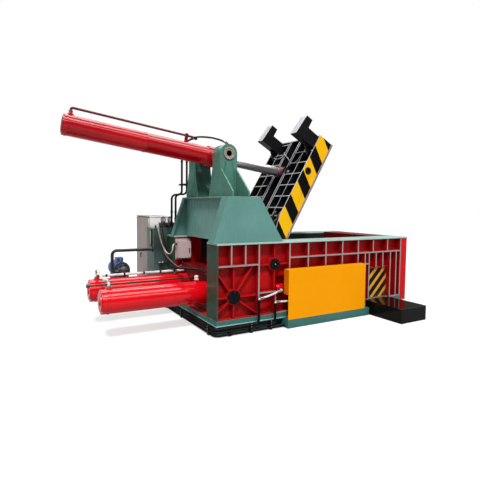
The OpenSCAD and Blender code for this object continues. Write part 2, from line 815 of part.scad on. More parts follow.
// Eye on the end of the rod, bored for the lid pin
module rod_eye() {
  color("#3b3b3e") on_lid_cylinder() difference() {
    union() {
      bar_y(cyl_reach, 0, rod_eye_r, -eye_half, eye_half);
      bar_x(0, 0, lid_rod_r + 22, cyl_reach - rod_eye_r - 70, cyl_reach - rod_eye_r + 40);
    }
    bar_y(cyl_reach, 0, eye_pin_r, -eye_half - 1, eye_half + 1);
    bar_x(0, 0, lid_rod_r, cyl_reach - rod_eye_r - 71, cyl_reach - rod_eye_r + 20);
  }
}

// Pin through the rod eye, which reaches through the clearance holes in the lid's channel ribs
module lid_pin() {
  color("#b9babd") on_lid_cylinder() difference() {
    bar_y(cyl_reach, 0, eye_pin_r - fit, -pin_half, pin_half);
    bar_y(cyl_reach, 0, 14, -pin_half - 1, -pin_half + 30);
  }
}

// Shaft across the press box that the lid turns on, with its round caps
module hinge_shaft() {
  color("#1b1b1d") {
    bar_y(hinge_x, hinge_z, hinge_r - fit, y_front + 45, -y_front - 45);
    both_sides() bar_y(hinge_x, hinge_z, hinge_cap_r, y_front + 20, y_front + 45);
  }
}

// Outline of a hinge arm, from the shaft's eye to the lid
module arm_outline() {
  difference() {
    union() {
      circle(r = eye_r);
      polygon([[0, -eye_r], [330, -press_drop + press_t], [1010, -press_drop + press_t],
               [1010, lid_back], [knee_t, knee_h], [0, eye_r]]);
      translate([knee_t - 160, 20]) circle(r = 132);
    }
    circle(r = hinge_r);
  }
}

// Welded skeleton of the lid: hinge arms, lengthways ribs, cross ribs and end plate
module lid_frame() {
  z0 = -press_drop + press_t;
  in_half = lid_half - lid_side_t;
  color("#242427") on_lid() {
    both_sides() {
      along_y(-in_half, 60) arm_outline();
      along_y(-in_half + 200, 40) arm_outline();
      for (y = [channel_half, channel_half + 58]) difference() {
        along_y(-y - channel_rib_t, channel_rib_t)
          polygon([[620, z0], [lid_len - 24, z0], [lid_len - 24, lid_back], [knee_t, lid_back], [700, 0]]);
        bar_y(lid_pin_reach, 0, eye_pin_r + open_pivot_gap, -y - channel_rib_t - 1, -y + 1);
      }
      along_y(-(in_half + channel_half + 84) / 2, bay_rib_t)
        polygon([[620, z0], [lid_len - 24, z0], [lid_len - 24, lid_back], [knee_t, lid_back], [700, 0]]);
      for (k = [0 : 6])
        span([1100 + k * rib_pitch_lid - 9, -in_half, z0], [1100 + k * rib_pitch_lid + 9, -channel_half - 84, lid_back]);
      span([700, -in_half, z0], [730, -channel_half - 84, 10]);
      span([knee_t - 9, -in_half, z0], [knee_t + 9, -channel_half - 84, lid_back]);
    }
    span([lid_len - 24, -in_half, z0], [lid_len, in_half, lid_back]);
    span([300, -in_half, z0], [lid_len - 24, in_half, z0 + 16]);
  }
}

// Outer side plates of the lid
module lid_side_plates() {
  z0 = -press_drop + press_t;
  color("#f2b70f") on_lid() both_sides() difference() {
    along_y(-lid_half, lid_side_t) polygon([
      [420, z0], [lid_len, z0], [lid_len, lid_back], [knee_t, knee_h], [470, 30], [330, -120]
    ]);
    bar_y(lid_pin_reach, 0, 60, -lid_half - 1, -lid_half + lid_side_t + 1);
  }
}

// Press plate on the chamber side of the lid
module press_plate() {
  color("#8a6f66") on_lid()
    span([260, -lid_half - 6, -press_drop], [lid_len + 6, lid_half + 6, -press_drop + press_t]);
}

// Hooks on the lid that land on the end block
module lid_hooks() {
  color("#1d1d20") on_lid() for (y = [-hook_front_y - hook_w, hook_rear_y]) {
    along_y(y, hook_w) polygon([
      [hook_t0, lid_back], [hook_t0, hook_z0 + hook_h], [hook_tip, hook_z0 + hook_h - 46],
      [hook_tip, hook_z0], [hook_t1, hook_z0], [hook_t1, lid_back]
    ]);
    along_y(y + hook_w / 2 - 15, 30) polygon([
      [hook_t0, lid_back], [hook_t0 - 170, lid_back], [hook_t0, lid_back + 200]
    ]);
  }
}

module gate() {
  lug_x = x_bale - gate_lap;
  color("#2b2620") {
    span([lug_x, gate_y, gate_z0], [lug_x + gate_l, gate_y + gate_t, gate_z1]);
    bar_x(gate_axis_y, gate_cyl_z, gate_rod_r + 22, lug_x - 45, lug_x);
  }
}

// Slideways under and over the gate
module gate_guides() {
  x0 = x_bale - gate_lap - gate_travel - 5;
  x1 = x_post + gate_lap + gate_gap;
  color("#77726c") for (z = [floor_h - guide_t, gate_z1 + seat])
    span([x0, gate_y - gate_gap, z], [x1, gate_y + gate_t + gate_gap, z + guide_t]);
}

// Barrel of the gate cylinder with its saddles and tail port
module gate_barrel() {
  nose = gate_tail_x + gate_cyl_l;
  back_y = gate_axis_y + gate_cyl_r + 12;
  color("#b3141b") difference() {
    union() {
      bar_x(gate_axis_y, gate_cyl_z, gate_cyl_r, gate_tail_x, nose);
      for (x = [gate_tail_x + 120, nose - 240])
        span([x, gate_axis_y, gate_cyl_z - gate_cyl_r + 10], [x + 90, back_y, gate_cyl_z + gate_cyl_r - 10]);
      for (x = [gate_tail_x + 50, nose - 60])
        bar_y(x, gate_cyl_z, 24, gate_axis_y - gate_cyl_r - 26, gate_axis_y);
    }
    bar_x(gate_axis_y, gate_cyl_z, gate_cyl_r - 22, gate_tail_x + 50, nose - 50);
    bar_x(gate_axis_y, gate_cyl_z, gate_rod_r + seat, nose - 51, nose + 1);
  }
}

module gate_rod() {
  nose = gate_tail_x + gate_cyl_l;
  color("#d4d6d8") {
    bar_x(gate_axis_y, gate_cyl_z, gate_rod_r, nose - 150, x_bale - gate_lap - 45);
    bar_x(gate_axis_y, gate_cyl_z, gate_cyl_r - 22 - seat, nose - 150, nose - 100);
  }
}

// Toothed sill under the outlet
module gate_sill() {
  teeth = 14;
  x0 = x_bale + rib_t / 2;
  x1 = x_post - rib_t / 2;
  pitch = (x1 - x0) / teeth;
  color("#a39a8c") {
    span([x0, y_front + 4, bed_z], [x1, gate_y - gate_gap, bed_z + 8]);
    for (k = [0 : teeth - 1])
      translate([x0 + k * pitch, y_front + 4, bed_z]) cube([pitch * 0.55, 60, floor_h - bed_z]);
  }
}

// Folded sheet cover over the gate cylinder, open underneath
module gate_cover() {
  x1 = cover_x0 + cover_l;
  y0 = y_front - cover_out;
  z1 = cover_z0 + cover_h;
  color("#f5a30a") {
    span([cover_x0, y0, cover_z0], [x1, y0 + sheet_t, z1]);
    span([cover_x0, y0, z1 - sheet_t], [x1, y_front, z1]);
    span([x1 - sheet_t, y0, cover_z0], [x1, y_front - bed_lip - seat, z1]);
    span([cover_x0, y0, floor_h + 315], [cover_x0 + sheet_t, y_front, z1]);
    for (x = [cover_x0 + 350, cover_x0 + 1570])
      span([x, y0 - 12, cover_z0], [x + 36, y0, cover_z0 + 16]);
  }
}

// Hollow box that the bale slides out on
module discharge_table() {
  y0 = y_front - cover_out - table_out;
  y1 = y_front - bed_lip - 2;
  color("#101012") {
    difference() {
      span([table_x0, y0, 0], [table_x1, y1, table_h]);
      span([table_x0 + 12, y0 + 12, -1], [table_x1 - 12, y1 - 12, table_h - 14]);
    }
    span([table_x0, y1, bed_z], [table_x1, y_front, table_h]);
  }
}

// Push-out ram in the rear wall
module side_ram() {
  x0 = x_bale + 6;
  x1 = x_post - liner_t - 6;
  z0 = floor_h + seat;
  z1 = bale_z - 8;
  color("#9c1a1f") difference() {
    span([x0, y_in, z0], [x1, y_in + side_ram_l, z1]);
    span([x0 + 40, y_in + 50, z0 + 40], [side_x - 100, y_in + side_ram_l + 1, z1 - 40]);
    span([side_x + 100, y_in + 50, z0 + 40], [x1 - 40, y_in + side_ram_l + 1, z1 - 40]);
  }
}

module side_rod() {
  back = side_head_y + side_barrel_l - 150;
  color("#d4d6d8") {
    bar_y(side_x - liner_t / 2, side_z, side_rod_r, y_in + side_ram_l, back);
    bar_y(side_x - liner_t / 2, side_z, side_barrel_r - 30 - seat, back - 60, back);
  }
}

module side_barrel() {
  x = side_x - liner_t / 2;
  y1 = side_head_y + side_barrel_l;
  color("#c8161f") difference() {
    union() {
      bar_y(x, side_z, side_barrel_r, side_head_y, y1);
      bar_y(x, side_z, side_barrel_r + 40, side_head_y + 60, side_head_y + 110);
      for (y = [side_head_y + 150, y1 - 110])
        translate([x, y, side_z]) cylinder(r = 28, h = side_barrel_r + 30);
    }
    bar_y(x, side_z, side_barrel_r - 30, side_head_y + 110, y1 - 80);
    bar_y(x, side_z, side_rod_r + seat, side_head_y - 1, side_head_y + 111);
  }
}

// Bracket frame that carries the side cylinder behind the rear wall
module side_support() {
  x = side_x - liner_t / 2;
  x0 = x_bale - 60;
  x1 = x_post + 60;
  y0 = box_w / 2 + bed_lip;
  y1 = side_head_y + side_barrel_l - 300;
  color("#3f7f6e") difference() {
    union() {
      span([x0, y0, lip_z], [x1, y1, floor_h]);
      for (y = [y0 + 60, y1 - 200]) span([x0 + 60, y, 0], [x1 - 60, y + 140, lip_z]);
      span([x0, y0, floor_h], [x0 + 30, side_head_y + 60, bale_z + 40]);
      span([x1 - 30, y0, floor_h], [x1, side_head_y + 60, bale_z + 40]);
      span([x0, side_head_y, floor_h], [x1, side_head_y + 60, bale_z + 40]);
      span([x - 200, y1 - 90, floor_h], [x + 200, y1 - 50, side_z]);
    }
    bar_y(x, side_z, side_barrel_r + seat, side_head_y - 1, y1 + 1);
  }
}

// Welded oil tank on legs
module oil_tank() {
  x1 = tank_x0 + tank_l;
  y1 = tank_y0 + tank_w;
  color("#2f5a4c") {
    span([tank_x0, tank_y0, tank_z0], [x1, y1, tank_z - 12]);
    span([tank_x0 - 12, tank_y0 - 12, tank_z - 12], [x1 + 12, y1 + 12, tank_z]);
    for (x = [tank_x0, x1 - 90]) for (y = [tank_y0, y1 - 90])
      span([x, y, 0], [x + 90, y + 90, tank_z0]);
  }
}

// Valve block, filter, breather and level gauge on the tank
module tank_fittings() {
  color("#3a3a3c") {
    span([tank_x0 + 180, tank_y0 + 60, tank_z], [tank_x0 + 620, tank_y0 + 260, tank_z + 110]);
    for (k = [0 : 2])
      translate([tank_x0 + 250 + k * 150, tank_y0 + 160, tank_z + 110]) cylinder(r = 45, h = 120);
    translate([tank_x0 + 900, tank_y0 + 250, tank_z]) cylinder(r = 75, h = 190);
    translate([tank_x0 + 1200, tank_y0 + 250, tank_z]) cylinder(r = 40, h = 110);
    translate([tank_x0 + 1200, tank_y0 + 250, tank_z + 70]) cylinder(r = 62, h = 60);
    span([tank_x0 - 30, tank_y0 + 120, tank_z - 380], [tank_x0, tank_y0 + 170, tank_z - 30]);
  }
}

// Electric motor with cooling ribs, fan cowl and terminal box
module motor() {
  y1 = motor_y0 + 560;
  color("#27548f") {
    bar_y(motor_x, motor_z, motor_r - 16, motor_y0, y1 - 120);
    bar_y(motor_x, motor_z, motor_r, motor_y0, motor_y0 + 26);
    bar_y(motor_x, motor_z, motor_r - 6, y1 - 150, y1);
    for (a = [0 : 15 : 345])
      translate([motor_x, motor_y0, motor_z]) rotate([0, a, 0])
        translate([-4, 0, motor_r - 20]) cube([8, 420, 17]);
    span([motor_x - 70, motor_y0 + 150, motor_z + motor_r - 30],
         [motor_x + 70, motor_y0 + 330, motor_z + motor_r + 75]);
    for (y = [motor_y0 + 60, motor_y0 + 330])
      span([motor_x - motor_r + 10, y, skid_h], [motor_x + motor_r - 10, y + 60, motor_z - motor_r + 70]);
  }
}

// Pump with its bell housing and suction pipe to the tank
module pump() {
  y0 = motor_y0 - 320;
  color("#26262a") {
    bar_y(motor_x, motor_z, 130, motor_y0 - 110, motor_y0);
    bar_y(motor_x, motor_z, 96, y0, motor_y0 - 110);
    span([motor_x - 120, y0 + 60, motor_z - 60], [motor_x, y0 + 170, motor_z + 60]);
    pipe([[motor_x - 100, y0 + 115, motor_z], [motor_x - 235, y0 + 115, motor_z],
          [motor_x - 235, y0 + 115, 1235], [tank_x0, y0 + 115, 1235]], 32);
    bar_x(y0 + 115, 1235, 55, tank_x0 - 22, tank_x0);
  }
}

// Stand under the motor and the pump
module power_skid() {
  x0 = motor_x - motor_r + 10;
  x1 = motor_x + motor_r - 10;
  y0 = motor_y0 - 200;
  y1 = motor_y0 + 520;
  color("#3b4a46") {
    span([x0, y0, skid_h - 40], [x1, y1, skid_h]);
    for (x = [x0, x1 - 60]) for (y = [y0, y1 - 60])
      span([x, y, 0], [x + 60, y + 60, skid_h - 40]);
    for (y = [y0, y1 - 60]) span([x0 + 60, y, 120], [x1 - 60, y + 60, 180]);
  }
}

// Control cabinet, open towards its two doors
module cabinet() {
  y1 = cab_y0 + cabinet_w;
  x1 = cab_x0 + cabinet_d;
  color("#a79d97") difference() {
    span([cab_x0, cab_y0, 0], [x1, y1, cabinet_h]);
    span([cab_x0 - 1, cab_y0 + 30, 130], [x1 - 30, y1 - 30, cabinet_h - 40]);
  }
}

// One leaf of the cabinet's doors, with its hinge knuckles, handed by s
module door_leaf(hinge_y, s) {
  w = cabinet_w / 2 - 30;
  x0 = cab_x0 - door_t;
  lo = s > 0 ? hinge_y : hinge_y - w;
  span([x0, lo, 110], [cab_x0 - seat, lo + w, cabinet_h - 20]);
  for (z = [240, 980, 1700])
    translate([cab_x0 - door_t / 2, hinge_y, z]) cylinder(r = 9, h = 70, $fn = 24);
}

module cabinet_door_near() {
  color("#b1a7a1") door_leaf(cab_y0 + 28, 1);
}

module cabinet_door_far() {
  color("#b1a7a1") door_leaf(cab_y0 + cabinet_w - 28, -1);
}

// Turning handle on the far leaf
module cabinet_latch() {
  y = cab_y0 + cabinet_w / 2 + 50;
  x = cab_x0 - door_t;
  color("#2a2a2c") {
    bar_x(y, latch_z, 14, x - 34, x - seat);
    span([x - 34, y - 11, latch_z - 95], [x - 22, y + 11, latch_z + 14]);
  }
}

// Junction box on a backing plate inside the rear wall, open towards its door
module junction_box() {
  y1 = y_in + liner_t;
  color("#cfc8c4") difference() {
    span([jb_x0, y1 - 20 - jb_depth, jb_z0], [jb_x0 + jb_w, y1 - 20, jb_z0 + jb_h]);
    span([jb_x0 + 8, y1 - 21 - jb_depth, jb_z0 + 8], [jb_x0 + jb_w - 8, y1 - 32, jb_z0 + jb_h - 8]);
  }
  color("#d3222a") span([jb_x0 - 13, y1 - 20, jb_z0 - 40], [jb_x0 + jb_w + 40, y1, jb_z0 + jb_h + 40]);
}

module junction_door() {
  y1 = y_in + liner_t - 20 - jb_depth;
  color("#d6cfcb") {
    span([jb_x0, y1 - 14, jb_z0], [jb_x0 + jb_w, y1 - seat, jb_z0 + jb_h]);
    bar_y(jb_x0 + jb_w - 30, jb_z0 + jb_h / 2, 9, y1 - 24, y1 - 14);
    for (z = [jb_z0 + 40, jb_z0 + jb_h - 80])
      translate([jb_x0, y1 - 7, z]) cylinder(r = 6, h = 40, $fn = 24);
  }
}

// Pressure pipes from the valve block up to the lid cylinder's hoses
module tower_pipes() {
  color("#1c1c1e") {
    pipe([[x_left + 240, 1000, 3120], [x_left + 240, 1000, 2385], [x_left + 20, 1000, 2385],
          [x_left + 20, 1000, tank_z + 55], [x_left + 20, tank_y0 + 60, tank_z + 55]], pipe_r);
    pipe([[x_left + 370, 1055, 3120], [x_left + 370, 1055, 2400], [x_left + 125, 1055, 2400],
          [x_left + 125, 1055, tank_z + 55], [x_left + 125, tank_y0 + 60, tank_z + 55]], pipe_r);
  }
}

// Hoses that carry on from the upright pipes to the lid cylinder
module lid_hoses() {
  port = lid_barrel_nose + 30;
  port_x = tr_x + port * cos(cyl_slope) + (lid_barrel_r + 60) * sin(cyl_slope);
  port_z = trunnion_z - port * sin(cyl_slope) + (lid_barrel_r + 60) * cos(cyl_slope);
  end_w = lid_barrel_r + 118;
  end_x = tr_x - 425 * cos(cyl_slope) + end_w * sin(cyl_slope);
  end_z = trunnion_z + 425 * sin(cyl_slope) + end_w * cos(cyl_slope);
  ahead = [cos(cyl_slope), 0, -sin(cyl_slope)];
  up = [sin(cyl_slope), 0, cos(cyl_slope)];
  color("#202022") {
    hose([[x_left + 240, 1000, 3120], [x_left + 240, 1000, 3175], [x_left + 215, 930, 3290], [x_left + 170, 720, 3380],
          [x_left + 140, 400, 3425], [x_left + 150, 150, 3430], [x_left + 160, 30, 3410],
          [end_x, 0, end_z] + 45 * ahead, [end_x, 0, end_z]], 17);
    hose([[x_left + 370, 1055, 3120], [x_left + 370, 1055, 3180], [x_left + 310, 990, 3320], [x_left + 240, 820, 3410],
          [x_left + 200, 500, 3460], [x_left + 210, 200, 3470], [x_left + 290, 40, 3460], [x_left + 440, 0, 3455],
          [x_left + 640, 0, 3430], [port_x, 0, port_z] + 90 * up, [port_x, 0, port_z]], 17);
  }
}

// Pipes along the foot of the press box, with their risers to the gate cylinder
module base_pipes() {
  x = x_left - 45;
  y = y_front - 42;
  back_y = tank_y0 + 50;
  color("#18181a") {
    pipe([[x, back_y, tank_z0], [x, back_y, 140], [x, y, 140], [x_left + 790, y, 140], [x_left + 790, y, 545]], pipe_r);
    pipe([[x, back_y + 60, tank_z0], [x, back_y + 60, 88], [x, y, 88], [x_left + 1130, y, 88],
          [x_left + 1130, y, 455]], pipe_r);
    pipe([[x, back_y + 120, tank_z0], [x, back_y + 120, 36], [x, y, 36], [cover_x0, y, 36]], pipe_r);
    for (z = [300, 356])
      pipe([[tank_x0 + tank_l, tank_y0 + 45, z], [x_bale - 60, tank_y0 + 45, z]], pipe_r);
  }
}

// Clamp blocks on the pipes
module pipe_clamps() {
  y = y_front - 42;
  color("#141416") difference() {
    union() {
      for (cx = [600, 1000]) span([x_left + cx, y - 30, 10], [x_left + cx + 56, y_front, lip_z - lip_t]);
      for (cy = [-1040, 200, 1080]) span([x_left - 75, cy, 10], [x_left, cy + 56, lip_z - lip_t]);
      span([x_left + 205, gusset_edge(pipe_bar_z), pipe_bar_z], [x_left + 405, 1085, pipe_bar_z + 12]);
    }
    for (z = [36, 88, 140]) {
      bar_x(y, z, pipe_r, x_left - 100, x_left + 1140);
      bar_y(x_left - 45, z, pipe_r, y_front - 100, 1200);
    }
    translate([x_left + 240, 1000, pipe_bar_z - 10]) cylinder(r = pipe_r, h = 40);
    translate([x_left + 370, 1055, pipe_bar_z - 10]) cylinder(r = pipe_r, h = 40);
  }
}

// Pipes on and beside the main cylinders
module main_pipes() {
  port_x = x_left - main_tail + 130;
  port_z = main_z + main_barrel_r + 30;
  half = main_pitch / 2;
  wall_y = y_in + liner_t;
  color("#d8d2ce") {
    hose([[port_x - 14, half, port_z], [port_x - 14, half, port_z + 130], [port_x, half - 160, port_z + 120],
          [port_x, 0, port_z + 50], [port_x, -half + 130, port_z + 90], [port_x, -half, port_z + 60],
          [port_x, -half, port_z]], 19);
    span([port_x + 8, half - 22, port_z], [port_x + 40, half + 22, port_z + 46]);
    pipe([[port_x + 40, half, port_z + 24], [x_left + 95, half, port_z + 24], [x_left + 95, wall_y, port_z + 24]], 19);
    hose([[x_left - 100, tank_y0, 950], [x_left - 100, tank_y0 - 100, 950], [x_left - 100, 300, 965], [x_left + 104, -150, 1000], [x_left + 104, -wall_y, 1000]], 19);
    hose([[x_left - 160, tank_y0, 950], [x_left - 160, tank_y0 - 100, 950], [x_left - 160, 280, 965], [x_left + 62, -170, 1000], [x_left + 62, -wall_y, 1000]], 19);
    translate([x_left - 60, -half, port_z]) cylinder(r = 30, h = 26);
    translate([x_left - 60, -half, port_z + 36]) sphere(r = 34);
  }
}

// Wrapped hoses from the risers to the gate cylinder
module gate_hoses() {
  y = y_front - 42;
  tail = gate_tail_x + 50;
  nose = gate_tail_x + gate_cyl_l - 60;
  port_y = gate_axis_y - gate_cyl_r - 26;
  color("#e9e4e2") {
    hose([[x_left + 790, y, 545], [x_left + 790, y, 580], [x_left + 860, y, 585], [x_left + 1000, y, 610], [x_left + 1180, y, 665],
          [tail - 20, y, gate_cyl_z], [tail, port_y - 30, gate_cyl_z], [tail, port_y, gate_cyl_z]], 17);
    hose([[x_left + 1130, y, 455], [x_left + 1130, y, 486], [x_left + 1200, y, 484], [x_left + 1400, y, 470], [nose - 160, y, 560],
          [nose - 30, y, gate_cyl_z], [nose, port_y - 30, gate_cyl_z], [nose, port_y, gate_cyl_z]], 17);
  }
}

base_frame();
floor_liner();
corner_posts();
front_wall();
rear_wall();
end_wall();
end_block();
top_rails();
wall_liners();
ram_bay_deck();
cylinder_cradle();
cross_pins();
main_barrels();
main_ram();
main_rods();
ram_face();
travel_rod();
pedestal();
front_tower();
rear_tower();
tower_gussets();
trunnion_bushes();
lid_barrel();
lid_gland();
lid_hoses();
lid_rod();
rod_eye();
lid_pin();
hinge_shaft();
lid_frame();
lid_side_plates();
press_plate();
lid_hooks();
gate();
gate_guides();
gate_barrel();
gate_rod();
gate_sill();
gate_cover();
discharge_table();
side_ram();
side_rod();
side_barrel();
side_support();
oil_tank();
tank_fittings();
motor();
pump();
power_skid();
cabinet();
cabinet_door_near();
cabinet_door_far();
cabinet_latch();
junction_box();
junction_door();
tower_pipes();
base_pipes();
pipe_clamps();
main_pipes();
gate_hoses();
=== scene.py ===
"""Looks of a horizontal scrap metal baler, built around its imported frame.

Lengths are in metres in the frame's own axes: +X towards the discharge end, +Z up, and the
wall with the discharge gate faces -Y. Every piece keeps its object at the origin.
"""

import json
import logging
import math
from collections.abc import Iterable
from dataclasses import dataclass, field
from enum import Enum

import bmesh
import bpy
from mathutils import Matrix, Vector

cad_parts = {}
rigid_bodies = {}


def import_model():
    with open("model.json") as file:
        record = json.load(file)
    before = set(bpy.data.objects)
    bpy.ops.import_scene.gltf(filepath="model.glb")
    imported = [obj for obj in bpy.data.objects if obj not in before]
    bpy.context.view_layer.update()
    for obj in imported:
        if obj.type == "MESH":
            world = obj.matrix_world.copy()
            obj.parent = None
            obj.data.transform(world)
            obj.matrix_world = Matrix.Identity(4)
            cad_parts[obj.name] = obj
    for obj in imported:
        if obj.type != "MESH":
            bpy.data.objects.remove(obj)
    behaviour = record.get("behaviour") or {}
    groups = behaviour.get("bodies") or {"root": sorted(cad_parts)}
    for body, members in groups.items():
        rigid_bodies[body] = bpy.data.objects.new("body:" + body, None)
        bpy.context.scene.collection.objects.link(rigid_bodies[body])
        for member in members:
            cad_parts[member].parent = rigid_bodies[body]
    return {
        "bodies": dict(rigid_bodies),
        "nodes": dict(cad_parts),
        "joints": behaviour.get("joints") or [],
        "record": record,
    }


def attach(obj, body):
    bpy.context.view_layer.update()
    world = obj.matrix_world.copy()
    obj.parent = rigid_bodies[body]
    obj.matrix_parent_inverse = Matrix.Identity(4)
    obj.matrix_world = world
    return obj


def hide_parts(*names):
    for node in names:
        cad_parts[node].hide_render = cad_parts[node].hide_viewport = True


LOG = logging.getLogger("baler")
PHOTO_SIDE = 480
Colour = tuple[float, float, float]
Point = tuple[float, float, float]
Mesh = bmesh.types.BMesh

UP = (0, 0, 1)
DOWN = (0, 0, -1)
TO_END = (1, 0, 0)
TO_TAIL = (-1, 0, 0)
TO_REAR = (0, 1, 0)
TO_FRONT = (0, -1, 0)
LEFT_END = -2.295
RIGHT_END = 2.295
WALL_FACE = 1.2
INNER_FACE = 0.805
BED_TOP = 0.267
BOX_TOP = 1.55
OUTLET = (1.18, 1.78)
HINGE = Vector((-1.140, 0.0, 1.146))
TRUNNION = Vector((-1.845, 0.0, 3.090))
LID_ANGLE = math.radians(60.0)
CYLINDER_SLOPE = math.radians(7.394)
LID_BACK = 0.106
LID_HALF = 0.790
MAIN_HEIGHT = 0.634
MAIN_SPACING = 0.5
MAIN_TAIL = -3.975
PORT_TOP = 0.862
TANK_FRONT = 1.26
TANK_TOP = 1.68


def rgba(colour: Colour) -> tuple[float, float, float, float]:
    """Returns a colour with full opacity."""
    return (*colour, 1.0)


class NodeBench:
    """Places and links shader nodes in one tree."""

    def __init__(self, tree: bpy.types.NodeTree) -> None:
        """Takes the tree that the nodes go into."""
        self.tree = tree

    def add(self, kind: str, **settings: object) -> bpy.types.Node:
        """Adds a node.

        Args:
            kind: The node's type without the ShaderNode prefix.
            settings: Its properties by name.

        Returns:
            The new node.
        """
        node = self.tree.nodes.new("ShaderNode" + kind)
        for name, value in settings.items():
            setattr(node, name, value)
        return node

    def feed(self, target: bpy.types.NodeSocket, source: object) -> None:
        """Links a socket to a source socket, or sets its value.

        Args:
            target: The input socket.
            source: An output socket, a number, a vector or a colour.
        """
        if isinstance(source, bpy.types.NodeSocket):
            self.tree.links.new(source, target)
        elif isinstance(source, tuple) and len(source) == 3 and target.type == "RGBA":
            target.default_value = rgba(source)
        else:
            target.default_value = source

    def maths(self, operation: str, *values: object, clamp: bool = False) -> bpy.types.NodeSocket:
        """Adds a Math node.

        Args:
            operation: The node's operation.
            values: Its inputs, as numbers or sockets.
            clamp: Whether the result stays within 0 and 1.

        Returns:
            The result's socket.
        """
        node = self.add("Math", operation=operation, use_clamp=clamp)
        for socket, value in zip(node.inputs, values):
            self.feed(socket, value)
        return node.outputs[0]

    def ramp(self, value: object, low: float, high: float,
             to: tuple[float, float] = (0.0, 1.0)) -> bpy.types.NodeSocket:
        """Maps a value smoothly from one range to another.

        Args:
            value: A number or a socket.
            low: Where the first range begins.
            high: Where the first range ends.
            to: The ends of the other range.

        Returns:
            The result's socket.
        """
        node = self.add("MapRange", interpolation_type="SMOOTHSTEP")
        for name, source in zip(("Value", "From Min", "From Max", "To Min", "To Max"),
                                (value, low, high, *to)):
            self.feed(node.inputs[name], source)
        return node.outputs["Result"]

    def mix(self, factor: object, first: object, second: object) -> bpy.types.NodeSocket:
        """Mixes two colours.

        Args:
            factor: The second one's share.
            first: A colour or a socket.
            second: Another colour or socket.

        Returns:
            The mixed colour's socket.
        """
        node = self.add("Mix", data_type="RGBA")
        for index, source in zip((0, 6, 7), (factor, first, second)):
            self.feed(node.inputs[index], source)
        return node.outputs[2]

    def noise(self, vector: object, scale: float, detail: float = 4.0,
              rough: float = 0.55) -> bpy.types.NodeSocket:
        """Adds a noise texture.

        Args:
            vector: The socket of the place it is read at.
            scale: Its scale.
            detail: How many finer layers it has.
            rough: How strong the finer layers are.

        Returns:
            The socket of its value.
        """
        node = self.add("TexNoise")
        for name, source in zip(("Vector", "Scale", "Detail", "Roughness"), (vector, scale, detail, rough)):
            self.feed(node.inputs[name], source)
        return node.outputs["Fac"]

    def place(self) -> bpy.types.NodeSocket:
        """Returns the object coordinates."""
        return self.add("TexCoord").outputs["Object"]

    def stretched(self, scale: Point) -> bpy.types.NodeSocket:
        """Scales the object coordinates.

        Args:
            scale: The factor along each axis.

        Returns:
            The scaled coordinates' socket.
        """
        node = self.add("Mapping")
        self.feed(node.inputs["Vector"], self.place())
        node.inputs["Scale"].default_value = scale
        return node.outputs["Vector"]

    def along(self, vector: object, direction: Point) -> bpy.types.NodeSocket:
        """Measures how far a vector reaches along a direction.

        Args:
            vector: The vector's socket.
            direction: The direction, one unit long.

        Returns:
            The reach's socket.
        """
        node = self.add("VectorMath", operation="DOT_PRODUCT")
        self.feed(node.inputs[0], vector)
        node.inputs[1].default_value = direction
        return node.outputs["Value"]

    def group(self, tree: bpy.types.NodeTree, **values: object) -> bpy.types.Node:
        """Adds a node group and feeds its inputs.

        Args:
            tree: The group.
            values: A number, a colour or a socket for each named input.

        Returns:
            The new node.
        """
        node = self.add("Group")
        node.node_tree = tree
        for name, value in values.items():
            self.feed(node.inputs[name], value)
        return node


